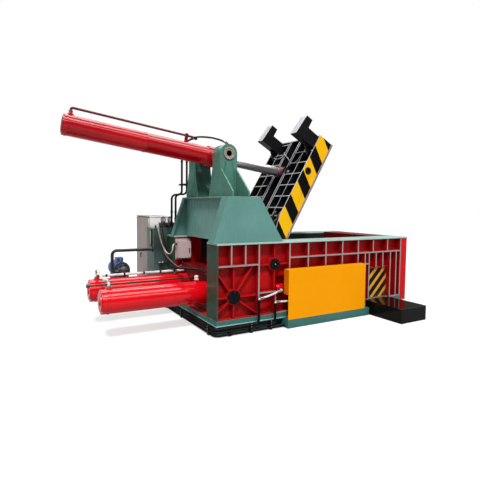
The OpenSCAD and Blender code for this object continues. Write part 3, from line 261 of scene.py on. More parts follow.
class Effects:
    """Shader node groups that the finishes share, each built once."""

    def __init__(self) -> None:
        """Starts with no group built."""
        self.built: dict[str, bpy.types.NodeTree] = {}

    def shell(self, name: str, inputs: dict[str, str], outputs: Iterable[str]) -> NodeBench:
        """Makes an empty group with named sockets.

        Args:
            name: The group's name.
            inputs: Socket type by input name.
            outputs: Names of the outputs, all numbers.

        Returns:
            A bench on the group's tree, with its input and output nodes in place.
        """
        tree = bpy.data.node_groups.new(name, "ShaderNodeTree")
        for label, kind in inputs.items():
            tree.interface.new_socket(label, in_out="INPUT", socket_type="NodeSocket" + kind)
        for label in outputs:
            tree.interface.new_socket(label, in_out="OUTPUT", socket_type="NodeSocketFloat")
        tree.nodes.new("NodeGroupInput")
        tree.nodes.new("NodeGroupOutput")
        self.built[name] = tree
        return NodeBench(tree)

    def worn_edges(self) -> bpy.types.NodeTree:
        """Builds the mask of bared edges, broken up by noise.

        Returns:
            The group.
        """
        if "worn_edges" not in self.built:
            bench = self.shell("worn_edges", {"Reach": "Float", "Amount": "Float"}, ["Mask"])
            source = bench.tree.nodes["Group Input"].outputs
            bevel = bench.add("Bevel", samples=4)
            bench.feed(bevel.inputs["Radius"], source["Reach"])
            turn = bench.add("VectorMath", operation="DOT_PRODUCT")
            bench.feed(turn.inputs[0], bevel.outputs["Normal"])
            bench.feed(turn.inputs[1], bench.add("NewGeometry").outputs["Normal"])
            bend = bench.ramp(bench.maths("SUBTRACT", 1.0, turn.outputs["Value"]), low=0.02, high=0.22)
            chips = bench.ramp(bench.noise(bench.place(), scale=9.0, detail=6.0, rough=0.7), low=0.38,
                               high=0.62)
            mask = bench.maths("MULTIPLY", bench.maths("MULTIPLY", bend, chips), source["Amount"], clamp=True)
            bench.feed(bench.tree.nodes["Group Output"].inputs["Mask"], mask)
        return self.built["worn_edges"]

    def grime_and_shade(self) -> bpy.types.NodeTree:
        """Builds the masks of dirt low down and in streaks, and the corner mask from ambient occlusion, which
        paints shade into corners and recesses and is also added to the dirt mask.

        Returns:
            The group.
        """
        if "grime_and_shade" not in self.built:
            inputs = {"Amount": "Float", "Height": "Float"}
            bench = self.shell("grime_and_shade", inputs, ["Mask", "Streak", "CornerShade"])
            source = bench.tree.nodes["Group Input"].outputs
            sink = bench.tree.nodes["Group Output"].inputs
            # corner mask: ambient occlusion turned into painted shade for corners and recesses
            corner = bench.add("AmbientOcclusion", samples=6)
            corner.inputs["Distance"].default_value = 0.16
            corner_shade = bench.ramp(corner.outputs["AO"], low=0.92, high=0.30)
            reach = bench.maths("DIVIDE", bench.along(bench.place(), UP), source["Height"])
            low = bench.maths("MAXIMUM", bench.maths("SUBTRACT", 1.0, reach), 0.0)
            streak = bench.ramp(bench.noise(bench.stretched((7.0, 7.0, 0.7)), scale=1.6, detail=5.0,
                                            rough=0.6), low=0.48, high=0.74)
            foot = bench.maths("MULTIPLY", low, bench.noise(bench.place(), scale=2.3, detail=5.0, rough=0.65))
            total = bench.maths("ADD", bench.maths("MULTIPLY", corner_shade, 0.75),
                                bench.maths("MULTIPLY", foot, 0.55))
            total = bench.maths("ADD", total, bench.maths("MULTIPLY", streak, 0.07))
            bench.feed(sink["Mask"], bench.maths("MULTIPLY", total, source["Amount"], clamp=True))
            bench.feed(sink["Streak"], streak)
            bench.feed(sink["CornerShade"], corner_shade)
        return self.built["grime_and_shade"]

    def scratches(self) -> bpy.types.NodeTree:
        """Builds the fine lines along one direction, as on ground or scuffed steel.

        Returns:
            The group.
        """
        if "scratches" not in self.built:
            bench = self.shell("scratches", {"Vector": "Vector", "Density": "Float"}, ["Mask", "Height"])
            source = bench.tree.nodes["Group Input"].outputs
            sink = bench.tree.nodes["Group Output"].inputs
            fine = bench.noise(source["Vector"], scale=38.0, detail=8.0, rough=0.75)
            sparse = bench.ramp(bench.noise(bench.place(), scale=4.0, detail=3.0), low=0.35, high=0.7)
            mask = bench.maths("MULTIPLY", bench.ramp(fine, low=0.56, high=0.64), sparse)
            bench.feed(sink["Mask"], bench.maths("MULTIPLY", mask, source["Density"], clamp=True))
            bench.feed(sink["Height"], fine)
        return self.built["scratches"]

    def bands(self) -> bpy.types.NodeTree:
        """Builds the slanting warning bands, whose mask is 1 on the dark ones.

        Returns:
            The group.
        """
        if "bands" not in self.built:
            inputs = {"Distance": "Float", "Width": "Float", "Share": "Float"}
            bench = self.shell("bands", inputs, ["Mask"])
            source = bench.tree.nodes["Group Input"].outputs
            ragged = bench.maths("MULTIPLY", bench.noise(bench.place(), scale=14.0, detail=3.0), 0.012)
            step = bench.maths("DIVIDE", bench.maths("ADD", source["Distance"], ragged), source["Width"])
            share = bench.maths("MULTIPLY", source["Share"], 0.5)
            wave = bench.maths("SUBTRACT", bench.maths("PINGPONG", step, 0.5), share)
            dark = bench.ramp(wave, low=-0.008, high=0.008, to=(1.0, 0.0))
            bench.feed(bench.tree.nodes["Group Output"].inputs["Mask"], dark)
        return self.built["bands"]


EFFECTS = Effects()


def blank_material(name: str) -> tuple[bpy.types.Material, NodeBench, bpy.types.Node]:
    """Makes a material that holds only its shader.

    Args:
        name: The material's name.

    Returns:
        The material, a bench on its tree and its Principled shader.
    """
    material = bpy.data.materials.new(name)
    material.use_nodes = True
    return material, NodeBench(material.node_tree), material.node_tree.nodes["Principled BSDF"]


def add_bump(bench: NodeBench, shader: bpy.types.Node, height: object, distance: float,
             strength: float) -> None:
    """Feeds a height into the shader's normal through a Bump node.

    Args:
        bench: The bench on the material's tree.
        shader: The material's shader.
        height: The height's socket.
        distance: How far the full height stands out.
        strength: The bump's strength.
    """
    bump = bench.add("Bump")
    bump.inputs["Strength"].default_value = strength
    bump.inputs["Distance"].default_value = distance
    bench.feed(bump.inputs["Height"], height)
    bench.feed(shader.inputs["Normal"], bump.outputs["Normal"])


@dataclass(frozen=True)
class Rubbed:
    """Faces of another colour: those that face one way, or any way, and lie between two planes."""

    facing: Point | None
    colour: Colour
    across: Point = (0.0, 0.0, 1.0)
    low: float = -99.0
    high: float = 99.0
    whole: float = 0.5

    def lay(self, bench: NodeBench, colour: object) -> bpy.types.NodeSocket:
        """Lays these faces over a colour.

        Args:
            bench: The bench on the material's tree.
            colour: The colour or socket below.

        Returns:
            The new colour's socket.
        """
        reach = bench.along(bench.place(), self.across)
        inside = bench.maths("MULTIPLY", bench.ramp(reach, low=self.low - 0.004, high=self.low),
                             bench.ramp(reach, low=self.high, high=self.high + 0.004, to=(1.0, 0.0)))
        if self.facing is not None:
            normal = bench.add("NewGeometry").outputs["Normal"]
            turned = bench.ramp(bench.along(normal, self.facing), low=0.80, high=0.95)
            inside = bench.maths("MULTIPLY", inside, turned)
        speckle = bench.noise(bench.place(), scale=11.0, detail=5.0, rough=0.7)
        scuffs = bench.ramp(speckle, low=0.30, high=0.52, to=(self.whole, 1.0))
        return bench.mix(bench.maths("MULTIPLY", inside, scuffs), colour, self.colour)


@dataclass(frozen=True)
class Enamel:
    """Sprayed enamel on steel, with bared edges, dust, painted shade in corners and recesses and a slight
    orange peel.
    """

    name: str
    colour: Colour
    edge: Colour = (0.34, 0.33, 0.32)
    dust: Colour = (0.10, 0.075, 0.06)
    gloss: float = 0.30
    wear: float = 0.35
    dirt: float = 0.40
    shade: float = 0.10
    # how strongly corners and recesses are darkened as painted shade
    corner_shade: float = 0.45
    reach: float = 0.006
    foot: float = 0.7
    coat: float = 0.10
    specular: float = 0.30
    rubbed: tuple[Rubbed, ...] = ()

    def pattern(self, bench: NodeBench) -> object:
        """Varies the paint's own colour a little, before wear and dust.

        Args:
            bench: The bench on the material's tree.

        Returns:
            The colour's socket.
        """
        value = bench.ramp(bench.noise(bench.place(), scale=1.7, detail=5.0, rough=0.6), low=0.25, high=0.75,
                           to=(1.0 - self.shade, 1.0 + self.shade))
        tone = bench.add("HueSaturation")
        bench.feed(tone.inputs["Color"], self.colour)
        bench.feed(tone.inputs["Value"], value)
        return tone.outputs["Color"]

    def build(self) -> bpy.types.Material:
        """Builds the finish.

        Returns:
            Its material.
        """
        material, bench, shader = blank_material(self.name)
        grime_and_shade = bench.group(EFFECTS.grime_and_shade(), Amount=self.dirt, Height=self.foot)
        colour = self.pattern(bench)
        for faces in self.rubbed:
            colour = faces.lay(bench, colour)
        if self.wear:
            edges = bench.group(EFFECTS.worn_edges(), Reach=self.reach, Amount=self.wear)
            colour = bench.mix(edges.outputs["Mask"], colour, self.edge)
        # painted shade: corners and recesses darken towards a quarter of the paint's colour
        painted_shade_colour = tuple(part * 0.25 for part in self.colour)
        colour = bench.mix(bench.maths("MULTIPLY", grime_and_shade.outputs["CornerShade"], self.corner_shade), colour, painted_shade_colour)
        colour = bench.mix(grime_and_shade.outputs["Mask"], colour, self.dust)
        bench.feed(shader.inputs["Base Color"], colour)
        rough = bench.maths("ADD", self.gloss, bench.maths("MULTIPLY", grime_and_shade.outputs["Mask"], 0.45))
        rough = bench.maths("ADD", rough, bench.maths("MULTIPLY", grime_and_shade.outputs["Streak"], 0.05), clamp=True)
        bench.feed(shader.inputs["Roughness"], rough)
        shader.inputs["Specular IOR Level"].default_value = self.specular
        shader.inputs["Coat Weight"].default_value = self.coat
        shader.inputs["Coat Roughness"].default_value = 0.08
        add_bump(bench, shader, bench.noise(bench.place(), scale=70.0, detail=3.0), distance=0.0006,
                 strength=0.35)
        return material


@dataclass(frozen=True)
class StripedEnamel(Enamel):
    """Enamel with slanting warning bands."""

    band: Colour = (0.008, 0.008, 0.009)
    direction: Point = (1.0, 0.0, 0.0)
    width: float = 0.4
    share: float = 0.5
    offset: float = 0.0
    rim: Colour = (0.62, 0.56, 0.52)

    def pattern(self, bench: NodeBench) -> object:
        """Lays the bands on the upright faces, and the rim's colour on the edges.

        Args:
            bench: The bench on the material's tree.

        Returns:
            The colour's socket.
        """
        distance = bench.maths("ADD", bench.along(bench.place(), self.direction), self.offset)
        bands = bench.group(EFFECTS.bands(), Distance=distance, Width=self.width, Share=self.share)
        striped = bench.mix(bands.outputs["Mask"], super().pattern(bench), self.band)
        across = bench.along(bench.add("NewGeometry").outputs["Normal"], TO_REAR)
        upright = bench.ramp(bench.maths("ABSOLUTE", across), low=0.80, high=0.95)
        return bench.mix(upright, self.rim, striped)


@dataclass(frozen=True)
class BareSteel:
    """Bare, ground or worn steel with directional scratches."""

    name: str
    colour: Colour
    tint: Colour = (0.20, 0.15, 0.12)
    rough: float = 0.35
    metallic: float = 1.0
    stretch: Point = (1.0, 1.0, 1.0)
    rust: float = 0.2
    scratch: float = 0.6

    def build(self) -> bpy.types.Material:
        """Builds the finish.

        Returns:
            Its material.
        """
        material, bench, shader = blank_material(self.name)
        lines = bench.group(EFFECTS.scratches(), Vector=bench.stretched(self.stretch), Density=self.scratch)
        grime_and_shade = bench.group(EFFECTS.grime_and_shade(), Amount=0.5, Height=0.6)
        blotch = bench.ramp(bench.noise(bench.place(), scale=3.1, detail=6.0, rough=0.65), low=0.45,
                            high=0.75)
        colour = bench.mix(bench.maths("MULTIPLY", blotch, self.rust), self.colour, self.tint)
        bright = tuple(min(1.0, part * 1.35) for part in self.colour)
        colour = bench.mix(lines.outputs["Mask"], colour, bright)
        colour = bench.mix(grime_and_shade.outputs["Mask"], colour, tuple(part * 0.4 for part in self.tint))
        bench.feed(shader.inputs["Base Color"], colour)
        shader.inputs["Metallic"].default_value = self.metallic
        rough = bench.maths("ADD", self.rough, bench.maths("MULTIPLY", lines.outputs["Height"], 0.12))
        rough = bench.maths("ADD", rough, bench.maths("MULTIPLY", grime_and_shade.outputs["Mask"], 0.3), clamp=True)
        bench.feed(shader.inputs["Roughness"], rough)
        add_bump(bench, shader, lines.outputs["Height"], distance=0.0008, strength=0.3)
        return material


@dataclass(frozen=True)
class Sheath:
    """Rubber, plastic or wound tape on a hose or a handle."""

    name: str
    colour: Colour
    rough: float = 0.6
    weave: float = 0.0
    dirt: float = 0.3
    specular: float = 0.3

    def build(self) -> bpy.types.Material:
        """Builds the finish.

        Returns:
            Its material.
        """
        material, bench, shader = blank_material(self.name)
        grime_and_shade = bench.group(EFFECTS.grime_and_shade(), Amount=self.dirt, Height=0.5)
        ply = bench.add("TexVoronoi", feature="F1")
        bench.feed(ply.inputs["Vector"], bench.place())
        ply.inputs["Scale"].default_value = 90.0
        thread = bench.maths("MULTIPLY", ply.outputs["Distance"], self.weave)
        shade = bench.ramp(bench.noise(bench.place(), scale=9.0, detail=4.0), low=0.3, high=0.7,
                           to=(0.75, 1.1))
        tone = bench.add("HueSaturation")
        bench.feed(tone.inputs["Color"], self.colour)
        bench.feed(tone.inputs["Value"], shade)
        stains = bench.ramp(bench.noise(bench.place(), scale=21.0, detail=3.0), low=0.60, high=0.72,
                            to=(0.0, self.weave))
        colour = bench.mix(stains, tone.outputs["Color"], (0.25, 0.05, 0.04))
        colour = bench.mix(grime_and_shade.outputs["Mask"], colour, (0.10, 0.085, 0.07))
        bench.feed(shader.inputs["Base Color"], colour)
        bench.feed(shader.inputs["Roughness"], bench.maths("ADD", self.rough, thread, clamp=True))
        shader.inputs["Specular IOR Level"].default_value = self.specular
        add_bump(bench, shader, bench.maths("ADD", thread, bench.noise(bench.place(), scale=120.0)),
                 distance=0.0012, strength=0.5)
        return material


RED = (0.46, 0.003, 0.005)
RED_DUST = (0.070, 0.016, 0.014)
RIB_GREY = (0.30, 0.30, 0.285)
INSIDE_BLACK = (0.006, 0.006, 0.007)
CYLINDER_UP = (math.sin(CYLINDER_SLOPE), 0.0, math.cos(CYLINDER_SLOPE))
LID_NORMAL = (-math.sin(LID_ANGLE), 0.0, math.cos(LID_ANGLE))
LID_BACK_LEVEL = Vector(LID_NORMAL).dot(HINGE) + LID_BACK
RIB_EDGES = {
    "front": Rubbed(TO_FRONT, RIB_GREY, TO_FRONT, low=WALL_FACE - 0.006, high=1.3, whole=0.75),
    "rear": Rubbed(TO_REAR, RIB_GREY, TO_REAR, low=WALL_FACE - 0.006, high=1.3, whole=0.75),
    "end": Rubbed(TO_END, RIB_GREY, TO_END, low=RIGHT_END - 0.006, high=2.4, whole=0.75),
}
# painted highlight: a pale line on the front, end and rear faces of the base's lip, where it would catch the
# light
LIP_HIGHLIGHT = tuple(Rubbed(way, (0.40, 0.62, 0.58), low=0.170, high=0.189, whole=0.8)
                 for way in (TO_FRONT, TO_TAIL, TO_REAR))
LID_RIBS = Rubbed(LID_NORMAL, (0.46, 0.46, 0.48), LID_NORMAL, low=LID_BACK_LEVEL - 0.004,
                  high=LID_BACK_LEVEL + 0.004, whole=0.85)
HOOK_TOPS = Rubbed((-0.808, 0.0, 0.588), (0.47, 0.46, 0.50), whole=0.9)
# painted shade: the rear tower's front-facing faces darker, for the shade between the towers
FAR_TOWER_SHADE = Rubbed(TO_FRONT, (0.026, 0.095, 0.078), TO_REAR, low=0.15, high=2.0, whole=0.9)
BED_RED = Rubbed(UP, RED, low=0.262, high=0.272, whole=0.8)
CORNER_RED = Rubbed(TO_FRONT, RED, TO_END, low=2.13, high=2.4, whole=1.0)
# painted shade: the cover's faces towards the tail a darker orange, as on the side away from the light
COVER_END_SHADE = Rubbed(TO_TAIL, (0.80, 0.190, 0.004), whole=1.0)
# painted light: the cabinet's front faces near white, as if lit, against its grey other faces
CABINET_LIT_FACE = Rubbed(TO_FRONT, (0.93, 0.91, 0.89), whole=1.0)
OIL_PIPE = Rubbed(None, (0.115, 0.012, 0.016), CYLINDER_UP, low=Vector(CYLINDER_UP).dot(TRUNNION) + 0.205,
                  whole=0.8)
PLATE_INSIDES = (
    Rubbed(TO_FRONT, INSIDE_BLACK, TO_REAR, low=0.5, whole=1.0),
    Rubbed(TO_REAR, INSIDE_BLACK, TO_FRONT, low=0.5, whole=1.0),
)
BARREL_LOOK = {"gloss": 0.16, "wear": 0.0, "dust": RED_DUST, "dirt": 0.12, "corner_shade": 0.6, "shade": 0.05,
               "coat": 0.8, "specular": 0.04}
WALL_LOOK = {"dust": RED_DUST, "dirt": 0.25, "coat": 0.0, "specular": 0.12}
FINISHES: dict[str, Enamel | BareSteel | Sheath] = {finish.name: finish for finish in (
    Enamel("front_red", RED, rubbed=(RIB_EDGES["front"],), wear=0.0, **WALL_LOOK),
    Enamel("rear_red", RED, rubbed=(RIB_EDGES["rear"],), wear=0.0, **WALL_LOOK),
    Enamel("end_red", (0.60, 0.004, 0.007), rubbed=(RIB_EDGES["end"],), wear=0.1, **WALL_LOOK),
    Enamel("block_red", (0.16, 0.003, 0.005), wear=0.4, **WALL_LOOK),
    Enamel("base_teal", (0.034, 0.168, 0.150), edge=(0.32, 0.42, 0.39), wear=0.5, dirt=0.22, coat=0.0,
           rubbed=(*LIP_HIGHLIGHT, BED_RED, CORNER_RED)),
    Enamel("post_teal", (0.030, 0.066, 0.042), edge=(0.34, 0.30, 0.26), wear=0.6, dirt=0.3, coat=0.0,
           specular=0.15),
    Enamel("rail_teal", (0.38, 0.58, 0.52), gloss=0.35, wear=0.5, dirt=0.25),
    Enamel("hood_teal", (0.122, 0.290, 0.255), edge=(0.44, 0.58, 0.53), gloss=0.26, wear=0.7, dirt=0.22,
           coat=0.1),
    Enamel("tower_teal", (0.080, 0.225, 0.172), edge=(0.55, 0.70, 0.62), gloss=0.26, wear=0.9, dirt=0.25,
           coat=0.1, rubbed=(FAR_TOWER_SHADE,)),
    Enamel("cylinder_red", (0.72, 0.0015, 0.008), **BARREL_LOOK),
    Enamel("lid_barrel_red", (0.47, 0.0015, 0.007), rubbed=(OIL_PIPE,), **BARREL_LOOK),
    Enamel("gland_red", (0.24, 0.012, 0.016), wear=0.5, dust=RED_DUST),
    Enamel("lid_black", INSIDE_BLACK, edge=(0.34, 0.34, 0.35), gloss=0.4, wear=0.75, dirt=0.10, coat=0.0,
           specular=0.14, rubbed=(LID_RIBS,)),
    Enamel("hook_black", INSIDE_BLACK, edge=(0.40, 0.40, 0.42), gloss=0.35, wear=0.7, dirt=0.05, coat=0.0,
           specular=0.14, rubbed=(HOOK_TOPS,)),
    Enamel("pin_black", (0.004, 0.004, 0.005), gloss=0.3, wear=0.5, dirt=0.05, edge=(0.2, 0.2, 0.2), coat=0.0,
           specular=0.10),
    Enamel("pipe_black", (0.003, 0.003, 0.004), gloss=0.28, dirt=0.04, wear=0.0, coat=0.0, specular=0.10),
    Enamel("ram_red", (0.30, 0.012, 0.014), wear=0.9, dirt=0.4, dust=RED_DUST),
    Enamel("liner_iron", (0.020, 0.012, 0.010), edge=(0.40, 0.36, 0.33), dust=(0.040, 0.020, 0.016),
           gloss=0.45, wear=0.8, dirt=0.5, coat=0.0, specular=0.25),
    Enamel("cover_orange", (0.90, 0.335, 0.0008), gloss=0.45, wear=0.0, dirt=0.03, shade=0.015, corner_shade=0.15,
           coat=0.0, specular=0.05, rubbed=(COVER_END_SHADE,)),
    Enamel("table_black", (0.003, 0.003, 0.003), gloss=0.12, wear=0.12, dirt=0.02, foot=0.1, coat=0.0,
           specular=0.15),
    Enamel("tank_green", (0.088, 0.160, 0.145), gloss=0.35, dirt=0.25, coat=0.0),
    Enamel("motor_blue", (0.110, 0.175, 0.42), gloss=0.4, edge=(0.3, 0.4, 0.55), dirt=0.25),
    Enamel("motor_pale", (0.13, 0.25, 0.55), gloss=0.4, edge=(0.3, 0.4, 0.55), dirt=0.2),
    Enamel("skid_grey", (0.040, 0.075, 0.068), gloss=0.45),
    Enamel("cabinet_grey", (0.36, 0.305, 0.285), gloss=0.5, wear=0.1, dirt=0.25, shade=0.04, corner_shade=0.3,
           rubbed=(CABINET_LIT_FACE,)),
    Enamel("box_grey", (0.58, 0.45, 0.435), gloss=0.5, wear=0.1, dirt=0.15, shade=0.04, corner_shade=0.2),
    Enamel("gauge_yellow", (0.75, 0.42, 0.02), gloss=0.3, wear=0.1, dirt=0.2),
    StripedEnamel("gate_stripes", (0.76, 0.34, 0.035), band=(0.004, 0.003, 0.003),
                  direction=(0.7071, 0, -0.7071), width=0.168, share=0.60, rim=(0.20, 0.16, 0.13), dirt=0.3,
                  dust=(0.05, 0.028, 0.022), wear=0.5, coat=0.0, specular=0.1),
    StripedEnamel("side_stripes", (0.92, 0.49, 0.006), band=(0.004, 0.004, 0.005),
                  direction=(0.883, 0, 0.469), width=0.478, share=0.47, offset=-0.063, dirt=0.05, wear=0.4,
                  shade=0.03, corner_shade=0.1, coat=0.0, specular=0.08, rubbed=PLATE_INSIDES),
    BareSteel("wear_steel", (0.22, 0.195, 0.18), rough=0.42, rust=0.5, stretch=(0.3, 3.0, 3.0)),
    BareSteel("plug_steel", (0.36, 0.33, 0.30), rough=0.35, rust=0.4),
    BareSteel("press_worn", (0.36, 0.25, 0.215), tint=(0.25, 0.14, 0.10), rough=0.5, rust=0.7, metallic=0.6),
    BareSteel("guide_steel", (0.33, 0.31, 0.28), rough=0.45, rust=0.5),
    BareSteel("rod_chrome", (0.78, 0.74, 0.75), rough=0.30, rust=0.0, scratch=0.0),
    BareSteel("bush_steel", (0.46, 0.38, 0.35), rough=0.38, rust=0.3, metallic=0.8),
    BareSteel("dark_iron", (0.05, 0.05, 0.053), rough=0.45, metallic=0.7, rust=0.25),
    BareSteel("eye_rust", (0.14, 0.07, 0.065), rough=0.45, metallic=0.6, rust=0.5, tint=(0.3, 0.05, 0.04)),
    BareSteel("bolt_steel", (0.36, 0.36, 0.36), rough=0.32, rust=0.2),
    Sheath("hose_black", (0.003, 0.003, 0.004), rough=0.40, dirt=0.04, specular=0.10),
    Sheath("hose_wrap", (0.84, 0.79, 0.77), rough=0.7, weave=0.5, dirt=0.15),
    Sheath("cable_white", (0.80, 0.78, 0.76), rough=0.5, dirt=0.1),
    Sheath("cable_pink", (0.62, 0.24, 0.24), rough=0.5, dirt=0.1),
    Sheath("lube_grey", (0.74, 0.73, 0.75), rough=0.4, dirt=0.05),
    Sheath("handle_black", (0.010, 0.010, 0.011), rough=0.35),
    Sheath("gauge_glass", (0.55, 0.60, 0.58), rough=0.15, dirt=0.1, specular=0.6),
)}
NODE_FINISHES: dict[str, str] = {
    "base_frame": "base_teal", "floor_liner": "liner_iron", "corner_posts": "post_teal",
    "front_wall": "front_red", "rear_wall": "rear_red", "end_wall": "end_red", "end_block": "block_red",
    "top_rails": "rail_teal", "wall_liners": "liner_iron", "ram_bay_deck": "block_red",
    "cylinder_cradle": "block_red", "cross_pins": "pin_black", "main_barrels": "cylinder_red",
    "main_ram": "ram_red", "main_rods": "rod_chrome", "ram_face": "wear_steel", "travel_rod": "dark_iron",
    "pedestal": "hood_teal", "front_tower": "tower_teal", "rear_tower": "tower_teal",
    "tower_gussets": "tower_teal", "trunnion_bushes": "bush_steel", "lid_barrel": "lid_barrel_red",
    "lid_gland": "gland_red", "lid_hoses": "hose_black", "lid_rod": "rod_chrome", "rod_eye": "eye_rust",
    "lid_pin": "bolt_steel", "hinge_shaft": "pin_black", "lid_frame": "lid_black",
    "lid_side_plates": "side_stripes", "press_plate": "press_worn", "lid_hooks": "hook_black",
    "gate": "gate_stripes", "gate_guides": "guide_steel", "gate_barrel": "cylinder_red",
    "gate_rod": "rod_chrome", "gate_sill": "guide_steel", "gate_cover": "cover_orange",
    "discharge_table": "table_black", "side_ram": "ram_red", "side_rod": "rod_chrome",
    "side_barrel": "cylinder_red", "side_support": "base_teal", "oil_tank": "tank_green",
    "tank_fittings": "dark_iron", "motor": "motor_blue", "pump": "dark_iron", "power_skid": "skid_grey",
    "cabinet": "cabinet_grey", "cabinet_door_near": "cabinet_grey", "cabinet_door_far": "cabinet_grey",
    "cabinet_latch": "handle_black", "junction_box": "box_grey", "junction_door": "box_grey",
    "tower_pipes": "pipe_black", "base_pipes": "pipe_black", "pipe_clamps": "pipe_black",
    "main_pipes": "hose_wrap", "gate_hoses": "hose_wrap",
}
CYLINDER_FRAME = Matrix.Translation(TRUNNION) @ Matrix.Rotation(CYLINDER_SLOPE, 4, "Y")
LID_FRAME = Matrix.Translation(HINGE) @ Matrix.Rotation(-LID_ANGLE, 4, "Y")
SIDES = (-1, 1)


class Body(Enum):
    """Bodies of the frame that pieces ride on."""

    FRAME = "frame"
    RAM = "main_ram"
    LID = "lid"
    LID_CYLINDER = "lid_cylinder"
    LID_ROD = "lid_rod"
    GATE = "gate"
    DOOR_NEAR = "cabinet_door_near"
    DOOR_FAR = "cabinet_door_far"
    BOX_DOOR = "junction_door"


def save_mesh(name: str, mesh: Mesh) -> bpy.types.Object:
    """Turns a bmesh into an object at the origin.

    Args:
        name: The object's name.
        mesh: The bmesh, which is freed.

    Returns:
        The new object, linked to the scene.
    """
    data = bpy.data.meshes.new(name)
    mesh.to_mesh(data)
    mesh.free()
    made = bpy.data.objects.new(name, data)
    bpy.context.scene.collection.objects.link(made)
    return made


def facing(place: Point | Vector, axis: Point | Vector) -> Matrix:
    """Returns the placement whose Z axis points along a direction."""
    return Matrix.Translation(place) @ Vector(axis).to_track_quat("Z", "Y").to_matrix().to_4x4()


def soften(mesh: Mesh, faces: Iterable[bmesh.types.BMFace], width: float) -> None:
    """Bevels the edges of some faces.

    Args:
        mesh: The bmesh that they are in.
        faces: The faces.
        width: Width of the bevel.
    """
    edges = list(dict.fromkeys(edge for face in faces for edge in face.edges))
    bmesh.ops.bevel(mesh, geom=edges, offset=width, segments=2, profile=0.5, affect="EDGES", material=-1)


def add_rod(mesh: Mesh, start: Point | Vector, end: Point | Vector, radius: float, sides: int = 20,
            tip: float | None = None, chamfer: float = 0.0) -> None:
    """Adds a round or many-sided bar.

    Args:
        mesh: The bmesh that it goes into.
        start: The middle of its first end.
        end: The middle of its other end.
        radius: Its radius at the start.
        sides: How many sides it has, more than four.
        tip: Its radius at the end, or the same.
        chamfer: Width of the bevel at both ends.
    """
    run = Vector(end) - Vector(start)
    made = bmesh.ops.create_cone(mesh, cap_ends=True, cap_tris=False, segments=sides, radius1=radius,
                                 radius2=radius if tip is None else tip, depth=run.length,
                                 matrix=facing(Vector(start) + run / 2, run))
    if chamfer:
        soften(mesh, [face for vert in made["verts"] for face in vert.link_faces if len(face.verts) == sides],
               chamfer)


def add_turned(mesh: Mesh, place: Point | Vector, axis: Point | Vector,
               profile: Iterable[tuple[float, float]], closed: bool = False, sides: int = 28) -> None:
    """Adds a turned shape.

    Args:
        mesh: The bmesh that it goes into.
        place: The point from which the profile's heights are measured.
        axis: The direction of its axis.
        profile: Pairs of radius and height.
        closed: Whether the profile is a closed outline, as for a ring.
        sides: How many steps the turn has.
    """
    frame = facing(place, axis)
    corners = [mesh.verts.new(frame @ Vector((radius, 0.0, height))) for radius, height in profile]
    following = corners[1:] + corners[:1] if closed else corners[1:]
    edges = [mesh.edges.new(pair) for pair in zip(corners, following)]
    bmesh.ops.spin(mesh, geom=corners + edges, cent=place, axis=Vector(axis).normalized(), dvec=(0, 0, 0),
                   angle=math.tau, steps=sides, use_merge=True, use_duplicate=False)


def add_tube(mesh: Mesh, points: list[Vector], radius: float, sides: int = 20) -> None:
    """Adds a bent pipe.

    Args:
        mesh: The bmesh that it goes into.
        points: The points of its smooth route.
        radius: Its radius.
        sides: How many sides it has.
    """
    rings = []
    for index, point in enumerate(points):
        way = points[min(index + 1, len(points) - 1)] - points[max(index - 1, 0)]
        made = bmesh.ops.create_circle(mesh, segments=sides, radius=radius, matrix=facing(point, way))
        rings.append(list(dict.fromkeys(edge for vert in made["verts"] for edge in vert.link_edges)))
    for ring, following in zip(rings, rings[1:]):
        bmesh.ops.bridge_loops(mesh, edges=ring + following)


def add_button(mesh: Mesh, place: Point | Vector, axis: Point | Vector, radius: float, rise: float,
               slope: float, crown: float = 0.0, sides: int = 16) -> None:
    """Adds a low round head.

    Args:
        mesh: The bmesh that it goes into.
        place: The middle of its foot.
        axis: The direction in which it stands up.
        radius: Its radius at the foot.
        rise: How high its rim stands.
        slope: How much narrower it is at the top.
        crown: How far its middle stands above the rim.
        sides: How many steps it has.
    """
    profile = ((0.0, 0.0), (radius, 0.0), (radius - slope, rise), (0.0, rise + crown))
    add_turned(mesh, place, axis, profile, sides=sides)


def add_ring(mesh: Mesh, place: Point | Vector, axis: Point | Vector, inner: float, outer: float,
             length: float, sides: int = 32) -> None:
    """Adds a flat ring with broken edges.

    Args:
        mesh: The bmesh that it goes into.
        place: The middle of its foot.
        axis: The direction in which it stands up.
        inner: The hole's radius.
        outer: Its own radius.
        length: Its height.
        sides: How many steps it has.
    """
    cut = min(0.002, 0.2 * length, 0.2 * (outer - inner))
    add_turned(mesh, place, axis, ((inner, 0.0), (outer, 0.0), (outer, length - cut), (outer - cut, length),
                                   (inner + cut, length), (inner, length - cut)), closed=True, sides=sides)


def add_block(mesh: Mesh, low: Point, high: Point, chamfer: float = 0.002,
              turn: Matrix | None = None) -> None:
    """Adds a block with bevelled edges.

    Args:
        mesh: The bmesh that it goes into.
        low: Its lowest corner.
        high: Its highest corner.
        chamfer: Width of its bevels.
        turn: A turn about its own middle.
    """
    middle = (Vector(low) + Vector(high)) / 2
    size = Vector(high) - Vector(low)
    place = Matrix.Translation(middle) @ (turn or Matrix()) @ Matrix.Diagonal((*size, 1.0))
    made = bmesh.ops.create_cube(mesh, size=1.0, matrix=place)
    soften(mesh, [face for vert in made["verts"] for face in vert.link_faces], chamfer)


